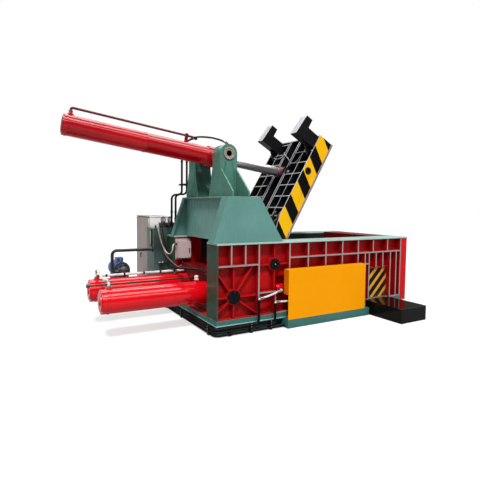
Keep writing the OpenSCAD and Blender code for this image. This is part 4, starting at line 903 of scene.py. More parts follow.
def add_bolt(mesh: Mesh, place: Point | Vector, axis: Point | Vector, across: float = 0.024) -> None:
    """Adds a hexagon bolt head on its washer.

    Args:
        mesh: The bmesh that it goes into.
        place: The middle of its foot.
        axis: The direction in which it stands up.
        across: Its width across the flats.
    """
    way = Vector(axis).normalized()
    seat = Vector(place) + way * across * 0.12
    add_rod(mesh, place, seat, radius=across * 0.68, sides=14)
    add_rod(mesh, seat, seat + way * across * 0.6, radius=across * 0.577, sides=6, chamfer=across * 0.05)


def add_bolt_ring(mesh: Mesh, centre: Point | Vector, axis: Point | Vector, radius: float, count: int,
                  across: float, start: float = 0.0) -> None:
    """Adds bolts evenly round a circle.

    Args:
        mesh: The bmesh that they go into.
        centre: The circle's middle.
        axis: The direction in which they stand up.
        radius: The circle's radius.
        count: How many they are.
        across: Their width across the flats.
        start: The first one's place, in steps.
    """
    frame = facing(centre, axis)
    for index in range(count):
        angle = math.tau * (index + start) / count
        add_bolt(mesh, frame @ Vector((radius * math.cos(angle), radius * math.sin(angle), 0.0)), axis,
                 across)


def add_bead(mesh: Mesh, start: Point, end: Point, radius: float = 0.006, pitch: float = 0.018) -> None:
    """Adds a weld bead with its ripples.

    Args:
        mesh: The bmesh that it goes into.
        start: Its first end.
        end: Its other end.
        radius: Its radius.
        pitch: The ripples' pitch.
    """
    run = Vector(end) - Vector(start)
    made = bmesh.ops.create_cone(mesh, cap_ends=True, cap_tris=False, segments=6, radius1=radius,
                                 radius2=radius, depth=run.length,
                                 matrix=facing(Vector(start) + run / 2, run))
    way = run.normalized()
    long = [edge for edge in dict.fromkeys(edge for vert in made["verts"] for edge in vert.link_edges)
            if abs((edge.verts[0].co - edge.verts[1].co).dot(way)) > 0.9 * run.length]
    cuts = max(2, round(run.length / pitch))
    split = bmesh.ops.subdivide_edges(mesh, edges=long, cuts=cuts)
    step = run.length / (cuts + 1)
    for vert in (item for item in split["geom_inner"] if isinstance(item, bmesh.types.BMVert)):
        reach = (vert.co - Vector(start)).dot(way)
        if round(reach / step) % 2:
            foot = Vector(start) + way * reach
            vert.co = foot + (vert.co - foot) * 0.72


def add_union(mesh: Mesh, place: Point | Vector, axis: Point | Vector, radius: float) -> None:
    """Adds a hose's hexagon nut and crimped ferrule.

    Args:
        mesh: The bmesh that they go into.
        place: The hose's end.
        axis: The direction along the hose.
        radius: The hose's radius.
    """
    way = Vector(axis).normalized()
    nut = Vector(place) + way * radius * 1.5
    add_rod(mesh, place, nut, radius=radius * 1.75, sides=6, chamfer=radius * 0.12)
    bands = [(1.32, 0.0), (1.32, 0.9), (1.20, 1.0), (1.32, 1.1), (1.32, 2.0), (1.20, 2.1), (1.32, 2.2),
             (1.32, 3.2)]
    profile = [(0.6, 0.0), *bands, (1.05, 3.4), (0.6, 3.4)]
    add_turned(mesh, nut, way, [(radius * reach, radius * height) for reach, height in profile], closed=True,
               sides=20)


def eased(route: Iterable[Point], steps: int = 4, reach: float = 0.4) -> list[Vector]:
    """Rounds the corners of a route.

    Args:
        route: Its points.
        steps: How many points each rounded corner gets.
        reach: How far from a corner its curve may begin.

    Returns:
        The points of the smooth route.
    """
    points = [Vector(point) for point in route]
    smooth = [points[0]]
    for before, corner, after in zip(points, points[1:], points[2:]):
        back, ahead = before - corner, after - corner
        lead = min(reach, 0.46 * back.length, 0.46 * ahead.length)
        first, last = corner + back.normalized() * lead, corner + ahead.normalized() * lead
        for index in range(steps):
            part = index / (steps - 1)
            smooth.append(first.lerp(corner, part).lerp(corner.lerp(last, part), part))
    return [*smooth, points[-1]]


@dataclass
class Camera:
    """Camera at the photograph's viewing angle; its centre and focal length are in pixels."""

    place: Point = (-5.250, -7.325, 2.175)
    yaw: float = 31.222
    pitch: float = 3.524
    roll: float = 0.746
    focal: float = 419.046
    centre: tuple[float, float] = (257.207, 231.768)
    sensor: float = 36.0

    def build(self) -> None:
        """Creates the camera and makes it the scene's."""
        data = bpy.data.cameras.new("photo_camera")
        data.sensor_width = self.sensor
        data.lens = self.focal / PHOTO_SIDE * self.sensor
        data.shift_x = (PHOTO_SIDE / 2 - self.centre[0]) / PHOTO_SIDE
        data.shift_y = (self.centre[1] - PHOTO_SIDE / 2) / PHOTO_SIDE
        data.clip_end = 200.0
        camera = bpy.data.objects.new("photo_camera", data)
        bpy.context.scene.collection.objects.link(camera)
        turn = (
            Matrix.Rotation(math.radians(-self.yaw), 4, "Z")
            @ Matrix.Rotation(math.radians(90.0 - self.pitch), 4, "X")
            @ Matrix.Rotation(math.radians(self.roll), 4, "Z")
        )
        camera.matrix_world = Matrix.Translation(self.place) @ turn
        bpy.context.scene.camera = camera


@dataclass
class Studio:
    """Plain pale floor, white surround and soft lamps."""

    floor_half: float = 60.0
    sky_light: float = 0.42
    mirrored_light: float = 0.12
    roof_light: float = 0.30
    strip_light: float = 7.0
    strip_pitch: float = 1.15
    floor_glow: float = 0.62
    floor_shade: float = 0.42
    key_angles: Point = (36.0, 0.0, -26.0)
    key_strength: float = 2.9
    key_spread: float = 8.0
    fill_angles: Point = (48.0, 0.0, 62.0)
    fill_share: float = 0.12
    fill_spread: float = 40.0

    def build(self) -> None:
        """Creates the world, the floor and the lamps."""
        bpy.context.scene.view_settings.view_transform = "Standard"
        self.surround()
        self.floor()
        self.lamp("key_sun", self.key_angles, self.key_strength, self.key_spread)
        self.lamp("fill_sun", self.fill_angles, self.key_strength * self.fill_share, self.fill_spread)

    def surround(self) -> None:
        """Sets a world that is white to the camera, soft on the object and a lit roof in reflections."""
        world = bpy.data.worlds.new("studio")
        bpy.context.scene.world = world
        world.use_nodes = True
        bench = NodeBench(world.node_tree)
        sky = world.node_tree.nodes["Background"]
        path = bench.add("LightPath")
        seen = bench.maths("MAXIMUM", path.outputs["Is Camera Ray"], path.outputs["Is Transmission Ray"])
        way = bench.add("TexCoord").outputs["Generated"]
        height = bench.along(way, UP)
        lean = bench.maths("DIVIDE", bench.along(way, TO_REAR), bench.maths("MAXIMUM", height, 0.05))
        folds = bench.maths("PINGPONG", bench.maths("MULTIPLY", lean, self.strip_pitch), 0.5)
        strips = bench.maths("MULTIPLY", bench.ramp(folds, low=0.26, high=0.32), self.strip_light)
        roof = bench.maths("MULTIPLY", bench.ramp(height, low=0.35, high=0.70),
                           bench.maths("ADD", strips, self.roof_light))
        glossy = path.outputs["Is Glossy Ray"]
        mirrored = bench.maths("MULTIPLY", glossy, bench.maths("ADD", roof, self.mirrored_light))
        soft = bench.maths("MULTIPLY", bench.maths("SUBTRACT", 1.0, glossy), self.sky_light)
        bench.feed(sky.inputs["Strength"], bench.maths("MAXIMUM", seen, bench.maths("ADD", mirrored, soft)))
        sky.inputs["Color"].default_value = (1.0, 1.0, 1.0, 1.0)

    def floor(self) -> None:
        """Makes the floor, which is white to the camera outside the object's shadow."""
        mesh = bmesh.new()
        bmesh.ops.create_grid(mesh, x_segments=1, y_segments=1, size=self.floor_half)
        plane = save_mesh("floor", mesh)
        material, bench, shader = blank_material("floor_paint")
        shader.inputs["Base Color"].default_value = rgba((self.floor_shade,) * 3)
        shader.inputs["Roughness"].default_value = 0.85
        path = bench.add("LightPath")
        shader.inputs["Emission Color"].default_value = (1.0, 1.0, 1.0, 1.0)
        glow = bench.maths("MULTIPLY", path.outputs["Is Camera Ray"], self.floor_glow)
        bench.feed(shader.inputs["Emission Strength"], glow)
        plane.data.materials.append(material)

    def lamp(self, name: str, angles: Point, strength: float, spread: float) -> None:
        """Adds a soft sun lamp.

        Args:
            name: The lamp's name.
            angles: Its rotation in degrees.
            strength: Its strength.
            spread: Its angular size in degrees.
        """
        data = bpy.data.lights.new(name, "SUN")
        data.energy = strength
        data.angle = math.radians(spread)
        lamp = bpy.data.objects.new(name, data)
        lamp.rotation_euler = tuple(math.radians(angle) for angle in angles)
        bpy.context.scene.collection.objects.link(lamp)


@dataclass
class Workshop:
    """Turns meshes into finished pieces that ride on the frame's bodies."""

    frame: dict
    crease: float = 35.0
    materials: dict[str, bpy.types.Material] = field(default_factory=dict)

    def finish(self, name: str) -> bpy.types.Material:
        """Returns a finish's material, built on its first use."""
        if name not in self.materials:
            self.materials[name] = FINISHES[name].build()
        return self.materials[name]

    def fit(self, made: bpy.types.Object, finish: str, body: Body) -> bpy.types.Object:
        """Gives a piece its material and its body.

        Args:
            made: The piece.
            finish: The name of its finish.
            body: The body that it rides on.

        Returns:
            The same piece.
        """
        made.data.materials.append(self.finish(finish))
        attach(made, body.value)
        LOG.info("%s rides on %s in %s", made.name, body.value, finish)
        return made

    def piece(self, name: str, mesh: Mesh, finish: str, body: Body = Body.FRAME,
              frame: Matrix | None = None) -> bpy.types.Object:
        """Makes a piece from a bmesh.

        Args:
            name: The piece's name.
            mesh: Its bmesh, which is freed.
            finish: The name of its finish.
            body: The body that it rides on.
            frame: The placement of the axes that it was drawn in.

        Returns:
            The finished piece.
        """
        if frame is not None:
            bmesh.ops.transform(mesh, matrix=frame, verts=mesh.verts)
        bmesh.ops.remove_doubles(mesh, verts=mesh.verts, dist=0.00001)
        bmesh.ops.recalc_face_normals(mesh, faces=mesh.faces)
        for face in mesh.faces:
            face.smooth = True
        made = save_mesh(name, mesh)
        made.data.set_sharp_from_angle(angle=math.radians(self.crease))
        return self.fit(made, finish, body)


@dataclass(frozen=True)
class Run:
    """One hose or cable between two fittings, with how many corners at each end are rigid elbows."""

    name: str
    route: tuple[Point, ...]
    radius: float
    finish: str
    body: Body = Body.FRAME
    node: str | None = None
    limp: bool = False
    rigid: tuple[int, int] = (0, 0)


def level_route(y: float, *points: tuple[float, float]) -> tuple[Point, ...]:
    """Returns a route in an upright plane, from pairs of X and Z."""
    return tuple((x, y, z) for x, z in points)


@dataclass
class Plumbing:
    """Hoses and cables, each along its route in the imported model, with their end fittings."""

    shop: Workshop
    hose_radius: float = 0.017
    main_radius: float = 0.019
    cable_radius: float = 0.006
    lube_radius: float = 0.005
    port_y: float = -1.151
    riser_y: float = -1.242
    wall_y: float = 0.823
    box_y: float = 0.742
    taped_z: float = 0.886

    def runs(self) -> list[Run]:
        """Lists every hose and cable.

        Returns:
            The hoses and cables with their routes.
        """
        ahead, up = CYLINDER_FRAME.col[0].xyz, CYLINDER_FRAME.col[2].xyz
        tail = CYLINDER_FRAME @ Vector((-0.425, 0.0, 0.288))
        port = CYLINDER_FRAME @ Vector((0.320, 0.0, 0.230))
        rear = ((-2.055, 1.0, 3.12), (-2.055, 1.0, 3.175), (-2.08, 0.93, 3.29), (-2.125, 0.72, 3.38),
                (-2.155, 0.4, 3.425), (-2.145, 0.15, 3.43), (-2.135, 0.03, 3.41), tail + 0.045 * ahead, tail)
        front = ((-1.925, 1.055, 3.12), (-1.925, 1.055, 3.18), (-1.985, 0.99, 3.32), (-2.055, 0.82, 3.41),
                 (-2.095, 0.5, 3.46), (-2.085, 0.2, 3.47), (-2.005, 0.04, 3.46), (-1.855, 0.0, 3.455),
                 (-1.655, 0.0, 3.43), port + 0.09 * up, port)
        gate_tail = (*level_route(self.riser_y, (-1.505, 0.545), (-1.505, 0.58), (-1.435, 0.585),
                                  (-1.295, 0.61), (-1.115, 0.665), (-1.03, 0.68)), (-1.01, -1.181, 0.68),
                     (-1.01, self.port_y, 0.68))
        gate_nose = (*level_route(self.riser_y, (-1.165, 0.455), (-1.165, 0.486), (-1.095, 0.484),
                                  (-0.895, 0.47), (0.07, 0.56), (0.2, 0.68)), (0.23, -1.181, 0.68),
                     (0.23, self.port_y, 0.68))
        port_x = MAIN_TAIL + 0.130
        cross = ((port_x - 0.014, MAIN_SPACING, PORT_TOP), (port_x - 0.014, MAIN_SPACING, PORT_TOP + 0.130),
                 (port_x, 0.34, 0.982), (port_x, 0.0, 0.912), (port_x, -0.37, 0.952),
                 (port_x, -MAIN_SPACING, PORT_TOP + 0.060), (port_x, -MAIN_SPACING, PORT_TOP))
        feeds = [((x, TANK_FRONT, 0.95), (x, TANK_FRONT - 0.1, 0.95), (x, turn, 0.965), (bend, low, 1.0),
                  (bend, -self.wall_y, 1.0))
                 for x, turn, bend, low in ((LEFT_END - 0.100, 0.30, LEFT_END + 0.104, -0.15),
                                            (LEFT_END - 0.160, 0.28, LEFT_END + 0.062, -0.17))]
        box_side = ((-2.505, 1.345, 1.682), (-2.505, 1.340, 1.765), (-2.505, 1.225, 1.770),
                    (-2.475, 1.200, 1.55), (-2.42, 1.17, 1.33), (-2.36, 1.06, 1.17), (-2.345, 0.88, 1.17),
                    (-2.345, self.box_y, 1.27), (-2.340, self.box_y, 1.385), (-2.255, self.box_y, 1.385))
        under = [((-2.47 + step, 1.32, 1.682), (-2.47 + step, 1.31, 1.74), (-2.47 + step, 1.235, 1.74),
                  (-2.44 + step, 1.20, 1.50), (-2.385 + step, 1.10, 1.14), (-2.33 + step, 0.86, 1.02),
                  *level_route(self.box_y, (-2.25 + step, 0.93), (-2.175 + step, 0.93), (-2.135 + step, 0.99),
                               (-2.135 + step, 1.083))) for step in (0.0, 0.06)]
        cables = [Run("box_cable_side", box_side, self.cable_radius * 2.0, "cable_white", limp=True),
                  Run("box_cable_pink", under[0], self.cable_radius, "cable_pink", limp=True),
                  Run("box_cable_black", under[1], self.cable_radius, "hose_black", limp=True)]
        over = LID_BACK + 0.010
        on_back = {
            "lid_lube_far": ((2.46, 0.655, over), (2.40, 0.64, over + 0.02), (2.31, 0.46, over),
                             (2.31, 0.26, over + 0.01), (2.38, 0.196, over)),
            "lid_lube_near": ((2.48, 0.196, over), (2.42, 0.18, over + 0.03), (2.24, -0.12, over + 0.02),
                              (2.13, -0.28, over + 0.01), (2.15, -0.43, over + 0.01),
                              (2.28, -0.50, over + 0.02), (2.40, -0.488, over)),
        }
        lubes = [Run(name, self.on_lid(*route), self.lube_radius, "lube_grey", Body.LID, limp=True)
                 for name, route in on_back.items()]
        return [
            Run("lid_hose_rear", rear, self.hose_radius, "hose_black", Body.LID_CYLINDER, "lid_hoses",
                rigid=(1, 2)),
            Run("lid_hose_front", front, self.hose_radius, "hose_black", Body.LID_CYLINDER, "lid_hoses",
                rigid=(1, 1)),
            Run("gate_hose_tail", gate_tail, self.hose_radius, "hose_wrap", node="gate_hoses", rigid=(1, 2)),
            Run("gate_hose_nose", gate_nose, self.hose_radius, "hose_wrap", node="gate_hoses", rigid=(1, 2)),
            Run("tail_hose", cross, self.main_radius, "hose_wrap", node="main_pipes", rigid=(1, 1)),
            Run("feed_hose_inner", feeds[0], self.main_radius, "hose_black", node="main_pipes"),
            Run("feed_hose_outer", feeds[1], self.main_radius, "hose_black", node="main_pipes"),
            *cables,
            *lubes,
        ]

    def on_lid(self, *points: Point) -> tuple[Point, ...]:
        """Returns points of the lid's own axes in the frame's axes."""
        return tuple(tuple(LID_FRAME @ Vector(point)) for point in points)

    def build(self) -> None:
        """Makes every hose and cable, and the wrapped pipe beside the rear barrel."""
        for run in self.runs():
            self.lay(run)
        self.wrapped_pipe()

    def lay(self, run: Run) -> None:
        """Args:
            run: The hose or cable.
        """
        steps = 5 if len(run.route) < 9 else 4
        points = eased(run.route, steps)
        first, last = run.rigid[0] * steps, len(points) - 1 - run.rigid[1] * steps
        self.elbows(run, [part for part in (points[:first + 1], points[:last - 1:-1]) if len(part) > 1])
        points = points[first:last + 1]
        data = bpy.data.curves.new(run.name, "CURVE")
        data.dimensions = "3D"
        data.bevel_depth = run.radius
        data.bevel_resolution = 4
        data.use_fill_caps = True
        spline = data.splines.new("POLY")
        spline.points.add(len(points) - 1)
        for spot, point in zip(spline.points, points):
            spot.co = (*point, 1.0)
        made = bpy.data.objects.new(run.name, data)
        bpy.context.scene.collection.objects.link(made)
        self.shop.fit(made, run.finish, run.body)
        if run.node:
            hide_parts(run.node)
        ends = bmesh.new()
        for here, inward in ((points[0], points[1]), (points[-1], points[-2])):
            add_union(ends, here, inward - here, run.radius)
        self.shop.piece(run.name + "_fittings", ends, "handle_black" if run.limp else "bolt_steel", run.body)

    def elbows(self, run: Run, parts: list[list[Vector]]) -> None:
        """Makes the rigid elbows at a hose's ends, with the nuts that hold them.

        Args:
            run: The hose.
            parts: The points of each elbow, from its port.
        """
        if not parts:
            return
        bends, nuts = bmesh.new(), bmesh.new()
        for part in parts:
            add_tube(bends, part, run.radius)
            way = (part[1] - part[0]).normalized()
            add_rod(nuts, part[0], part[0] + way * run.radius, radius=run.radius * 1.7, sides=6,
                    chamfer=run.radius * 0.12)
        made = self.shop.piece(run.name + "_elbows", bends, run.finish, run.body)
        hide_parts(run.node)
        self.shop.piece(run.name + "_nuts", nuts, "bolt_steel", run.body)

    def wrapped_pipe(self) -> None:
        """Makes the taped pipe from the rear barrel to the wall, its bands and the sealed port's cap."""
        low, corner = (-3.805, MAIN_SPACING, self.taped_z), (-2.2, MAIN_SPACING, self.taped_z)
        mesh = bmesh.new()
        add_tube(mesh, eased((low, corner, (corner[0], self.wall_y, corner[2])), steps=9, reach=0.07),
                 radius=0.024, sides=24)
        taped = self.shop.piece("wrapped_pipe", mesh, "hose_wrap")
        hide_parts("main_pipes")
        bands = bmesh.new()
        for x in (-3.70, -3.38, -3.02, -2.70, -2.42):
            add_ring(bands, (x, MAIN_SPACING, self.taped_z), TO_END, inner=0.022, outer=0.0262, length=0.035,
                     sides=24)
        self.shop.piece("pipe_tapes", bands, "hose_black")
        block = bmesh.new()
        add_block(block, (-3.837, 0.478, 0.862), (-3.805, 0.522, 0.908), chamfer=0.003)
        holder = self.shop.piece("pipe_elbow_block", block, "cylinder_red")
        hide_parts("main_pipes")
        cap = bmesh.new()
        add_turned(cap, (LEFT_END - 0.060, -MAIN_SPACING, PORT_TOP), UP,
                   ((0.0, 0.0), (0.040, 0.0), (0.041, 0.012), (0.036, 0.018), (0.037, 0.030), (0.030, 0.036),
                    (0.037, 0.042), (0.041, 0.050), (0.040, 0.060), (0.034, 0.070), (0.020, 0.077),
                    (0.0, 0.079)), sides=28)
        stopper = self.shop.piece("sealed_port_cap", cap, "cable_white")
        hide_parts("main_pipes")


@dataclass
class PressBox:
    """Fasteners and welds on the press box and its ram."""

    shop: Workshop
    plug_radius: float = 0.017
    plug_rise: float = 0.0015
    plug_pitch: float = 0.30
    hinge_cap: float = 1.180
    pin_cap: float = 1.186
    pin_x: float = -1.959
    foot_y: float = 1.070
    foot_inset: float = 0.12
    foot_top: float = 0.026
    ram_face: float = -0.9525
    screw_rows: tuple[float, float] = (0.3953, 0.7653)

    def build(self) -> None:
        """Makes the plugs, the cap bolts, the welds and the anchors."""
        self.plugs()
        self.caps()
        self.welds()
        self.anchors()
        self.ram_bolts()

    def plugs(self) -> None:
        """Makes the flush bolts of the wear plates inside the walls."""
        mesh = bmesh.new()
        for side in SIDES:
            for index in range(10):
                x = -1.55 + index * self.plug_pitch
                heights = [0.36, 0.60, 0.84] if x < OUTLET[0] - 0.05 else []
                heights += [1.05, 1.37] if abs(x - HINGE.x) > 0.2 else []
                for z in heights:
                    self.plug(mesh, (x, side * INNER_FACE, z), (0, -side, 0))
        self.shop.piece("wear_plate_plugs", mesh, "plug_steel")

    def plug(self, mesh: Mesh, place: Point, axis: Point) -> None:
        """Adds one flush bolt with its hexagon.

        Args:
            mesh: The bmesh that it goes into.
            place: The middle of its foot.
            axis: The direction in which it faces.
        """
        rise, radius = self.plug_rise, self.plug_radius
        add_button(mesh, place, axis, radius, rise, slope=0.003)
        add_rod(mesh, place, Vector(place) + Vector(axis) * (rise + 0.0008), radius=radius * 0.42, sides=6)

    def caps(self) -> None:
        """Makes the bolts on the round caps of the hinge shaft and of the cross pins."""
        mesh = bmesh.new()
        for side in SIDES:
            add_bolt_ring(mesh, (HINGE.x, side * self.hinge_cap, HINGE.z), (0, side, 0), radius=0.072,
                          count=6, across=0.022, start=0.5)
            add_bolt_ring(mesh, (self.pin_x, side * self.pin_cap, MAIN_HEIGHT), (0, side, 0), radius=0.086,
                          count=6, across=0.024, start=0.5)
        self.shop.piece("cap_bolts", mesh, "pin_black")
        nipples = bmesh.new()
        for side in SIDES:
            add_turned(nipples, (HINGE.x, side * self.hinge_cap, HINGE.z), (0, side, 0), (
                (0.0, 0.0), (0.014, 0.0), (0.014, 0.006), (0.006, 0.009), (0.006, 0.016), (0.008, 0.019),
                (0.0, 0.023)), sides=16)
        self.shop.piece("grease_nipples", nipples, "bolt_steel")

    def welds(self) -> None:
        """Makes the beads where the walls stand on the bed and the pedestal on the rails."""
        mesh = bmesh.new()
        for side in SIDES:
            add_bead(mesh, (HINGE.x, side * WALL_FACE, BED_TOP), (2.11, side * WALL_FACE, BED_TOP),
                     radius=0.005)
            add_bead(mesh, (LEFT_END, side * 0.83, BED_TOP), (LEFT_END, side * 1.19, BED_TOP), radius=0.005)
        self.shop.piece("bed_welds", mesh, "base_teal")
        foot = bmesh.new()
        for y in (-WALL_FACE, 0.860):
            add_bead(foot, (-2.350, y, BOX_TOP), (-1.0, y, BOX_TOP), radius=0.007)
        self.shop.piece("pedestal_foot_welds", foot, "hood_teal")

    def anchors(self) -> None:
        """Makes the anchor nuts on the feet of the skid beams."""
        mesh = bmesh.new()
        for x in (LEFT_END + self.foot_inset, RIGHT_END - self.foot_inset):
            for side in SIDES:
                place = Vector((x, side * self.foot_y, self.foot_top))
                add_bolt(mesh, place, UP, across=0.036)
                add_rod(mesh, place, place + Vector((0, 0, 0.060)), radius=0.0115, sides=14, chamfer=0.002)
        self.shop.piece("anchor_nuts", mesh, "bolt_steel")

    def ram_bolts(self) -> None:
        """Makes the socket screws sunk in the ram's face plate."""
        mesh = bmesh.new()
        head = ((0.0, 0.0), (0.018, 0.0), (0.018, 0.004), (0.0165, 0.0055), (0.008, 0.0055), (0.008, 0.001),
                (0.0, 0.001))
        for y in (-0.64, -0.32, 0.0, 0.32, 0.64):
            for z in self.screw_rows:
                add_turned(mesh, (self.ram_face, y, z), TO_END, head, sides=18)
        self.shop.piece("ram_face_screws", mesh, "plug_steel", Body.RAM)


@dataclass
class Towers:
    """Fasteners, welds and trunnion ends on the pedestal and its towers."""

    shop: Workshop
    foot_z: float = 2.330
    half: float = 0.168
    outer: float = 0.720
    inner: float = 0.250

    def build(self) -> None:
        """Makes the welds round the towers, the gussets' beads and the trunnion ends."""
        mesh = bmesh.new()
        left, right = TRUNNION.x - self.half, TRUNNION.x + self.half
        for side in SIDES:
            for y in (self.outer, self.inner):
                add_bead(mesh, (left, side * y, self.foot_z), (right, side * y, self.foot_z), radius=0.007)
            for x in (left, right):
                add_bead(mesh, (x, side * self.inner, self.foot_z), (x, side * self.outer, self.foot_z),
                         radius=0.007)
        for x in (left + 0.014, right - 0.014):
            for offset in (-0.014, 0.014):
                add_bead(mesh, (x + offset, -0.722, self.foot_z), (x + offset, -0.722, self.foot_z + 0.485),
                         radius=0.006)
                add_bead(mesh, (x + offset, -0.725, self.foot_z), (x + offset, -1.175, self.foot_z),
                         radius=0.006)
        self.shop.piece("tower_welds", mesh, "tower_teal")
        self.trunnion_ends()

    def trunnion_ends(self) -> None:
        """Makes the ground ends of the trunnion pins and the dark bores in them."""
        rings, bores = bmesh.new(), bmesh.new()
        cup = ((0.0518, 0.0), (0.0518, 0.46), (0.0, 0.46), (0.0, 0.452), (0.0500, 0.452), (0.0500, 0.0))
        for side in SIDES:
            add_ring(rings, (0, side * 0.732, 0), (0, side, 0), inner=0.0522, outer=0.0825, length=0.003,
                     sides=40)
            add_turned(bores, (0, side * 0.7335, 0), (0, -side, 0), cup, closed=True, sides=32)
        self.shop.piece("trunnion_pin_ends", rings, "bush_steel", Body.LID_CYLINDER, CYLINDER_FRAME)
        self.shop.piece("trunnion_bores", bores, "pipe_black", Body.LID_CYLINDER, CYLINDER_FRAME)


@dataclass
class LidCylinder:
    """Fasteners and fittings on the lid cylinder, drawn along its own axis."""

    shop: Workshop
    tail: float = -2.600
    radius: float = 0.170
    pipe_height: float = 0.288
    flange: float = 0.095
    gland_face: float = 0.350
    eye_reach: float = 1.714
    eye_face: float = 0.095

    def build(self) -> None:
        """Makes the pipe's flange and bolts, the trunnion's weld rings, the wiper and the eye's washers."""
        bolts = bmesh.new()
        for x in (-0.558, -0.532):
            for y in (-0.012, 0.012):
                add_bolt(bolts, (x, y, self.pipe_height + 0.034), UP, across=0.012)
        add_bolt_ring(bolts, (self.tail + self.flange, 0, self.radius + 0.012), UP, radius=0.041, count=4,
                      across=0.014, start=0.5)
        self.shop.piece("lid_cylinder_bolts", bolts, "bolt_steel", Body.LID_CYLINDER, CYLINDER_FRAME)
        mesh = bmesh.new()
        add_ring(mesh, (self.tail + self.flange, 0, self.radius - 0.012), UP, inner=0.028, outer=0.056,
                 length=0.024, sides=24)
        for x in (-0.108, 0.108):
            add_ring(mesh, (x - 0.005, 0, 0), TO_END, inner=self.radius - 0.002, outer=self.radius + 0.006,
                     length=0.010, sides=48)
        self.shop.piece("lid_cylinder_lugs", mesh, "cylinder_red", Body.LID_CYLINDER, CYLINDER_FRAME)
        seal = bmesh.new()
        add_ring(seal, (self.gland_face, 0, 0), TO_END, inner=0.094, outer=0.112, length=0.006, sides=40)
        self.shop.piece("lid_rod_wiper", seal, "pipe_black", Body.LID_CYLINDER, CYLINDER_FRAME)
        plates = bmesh.new()
        for side in SIDES:
            add_ring(plates, (self.eye_reach, side * self.eye_face, 0), (0, side, 0), inner=0.056,
                     outer=0.092, length=0.008, sides=36)
        self.shop.piece("rod_eye_washers", plates, "bolt_steel", Body.LID_ROD, CYLINDER_FRAME)


@dataclass
class Lid:
    """Fasteners, welds and bosses of the lid, drawn along the closed lid."""

    shop: Workshop
    reach: float = 1.990
    plate_level: float = -0.261
    plug_start: float = 0.42
    plug_pitch: float = 0.43
    port_radius: float = 0.060
    port_depth: float = 0.026

    def build(self) -> None:
        """Makes the plugs of the press plate, the bosses of the pin and the ports of the side plates."""
        plugs = bmesh.new()
        for index in range(6):
            for y in (-0.60, -0.20, 0.20, 0.60):
                place = Vector((self.plug_start + index * self.plug_pitch, y, self.plate_level))
                add_button(plugs, place, DOWN, radius=0.020, rise=0.0015, slope=0.003)
                add_rod(plugs, place, place + Vector(DOWN) * 0.0023, radius=0.008, sides=6)
        self.shop.piece("press_plate_plugs", plugs, "plug_steel", Body.LID, LID_FRAME)
        mesh = bmesh.new()
        for side in SIDES:
            add_ring(mesh, (self.reach, side * 0.216, 0), (0, side, 0), inner=0.1215, outer=0.152,
                     length=0.012, sides=40)
            add_ring(mesh, (self.reach, side * 0.132, 0), (0, -side, 0), inner=0.1215, outer=0.150,
                     length=0.010, sides=40)
            add_ring(mesh, (0.0, side * 0.5245, 0), (0, -side, 0), inner=0.082, outer=0.126, length=0.014,
                     sides=40)
        self.shop.piece("lid_bosses", mesh, "lid_black", Body.LID, LID_FRAME)
        rims = bmesh.new()
        for side in SIDES:
            add_ring(rims, (self.reach, side * LID_HALF, 0), (0, side, 0), inner=0.0605, outer=0.074,
                     length=0.003, sides=36)
            outer, inner, brim = self.port_radius - 0.0002, self.port_radius - 0.003, self.port_depth + 0.0005
            add_turned(rims, (self.reach, side * (LID_HALF - self.port_depth), 0), (0, side, 0),
                       ((0.0, 0.0), (outer, 0.0), (outer, brim), (inner, brim), (inner, 0.003), (0.0, 0.003)),
                       sides=36)
        self.shop.piece("side_plate_ports", rims, "lid_black", Body.LID, LID_FRAME)


@dataclass
class MainDrive:
    """Fasteners of the main barrels behind the press box."""

    shop: Workshop
    port_inset: float = 0.130
    saddle: float = 0.828
    block_corner: float = 0.029

    def build(self) -> None:
        """Makes the port blocks' bolts and welds, the barrels' end rings and the travel rod's bushes."""
        bolts, lugs = bmesh.new(), bmesh.new()
        for side in SIDES:
            y = side * MAIN_SPACING
            for x in (MAIN_TAIL + self.port_inset, LEFT_END - 0.060):
                for ahead, aside in ((-1, -1), (1, -1), (-1, 1), (1, 1)):
                    corner = (x + ahead * self.block_corner, y + aside * self.block_corner, PORT_TOP)
                    add_bolt(bolts, corner, UP, across=0.013)
                for edge in SIDES:
                    add_bead(lugs, (x - 0.040, y + edge * 0.041, self.saddle),
                             (x + 0.040, y + edge * 0.041, self.saddle), radius=0.006)
            add_ring(lugs, (MAIN_TAIL + 0.085, y, MAIN_HEIGHT), TO_END, inner=0.196, outer=0.206,
                     length=0.030, sides=56)
            add_turned(lugs, (MAIN_TAIL - 0.016, y, MAIN_HEIGHT), TO_TAIL, (
                (0.0, 0.0), (0.060, 0.0), (0.060, 0.008), (0.054, 0.012), (0.0, 0.012)), sides=32)
        self.shop.piece("main_port_bolts", bolts, "bolt_steel")
        self.shop.piece("main_barrel_rings", lugs, "cylinder_red")
        bush = bmesh.new()
        for x in (-2.163, -1.755):
            add_ring(bush, (x, 0.0, 0.813), TO_END, inner=0.0145, outer=0.052, length=0.012, sides=28)
        self.shop.piece("travel_rod_bushes", bush, "dark_iron")


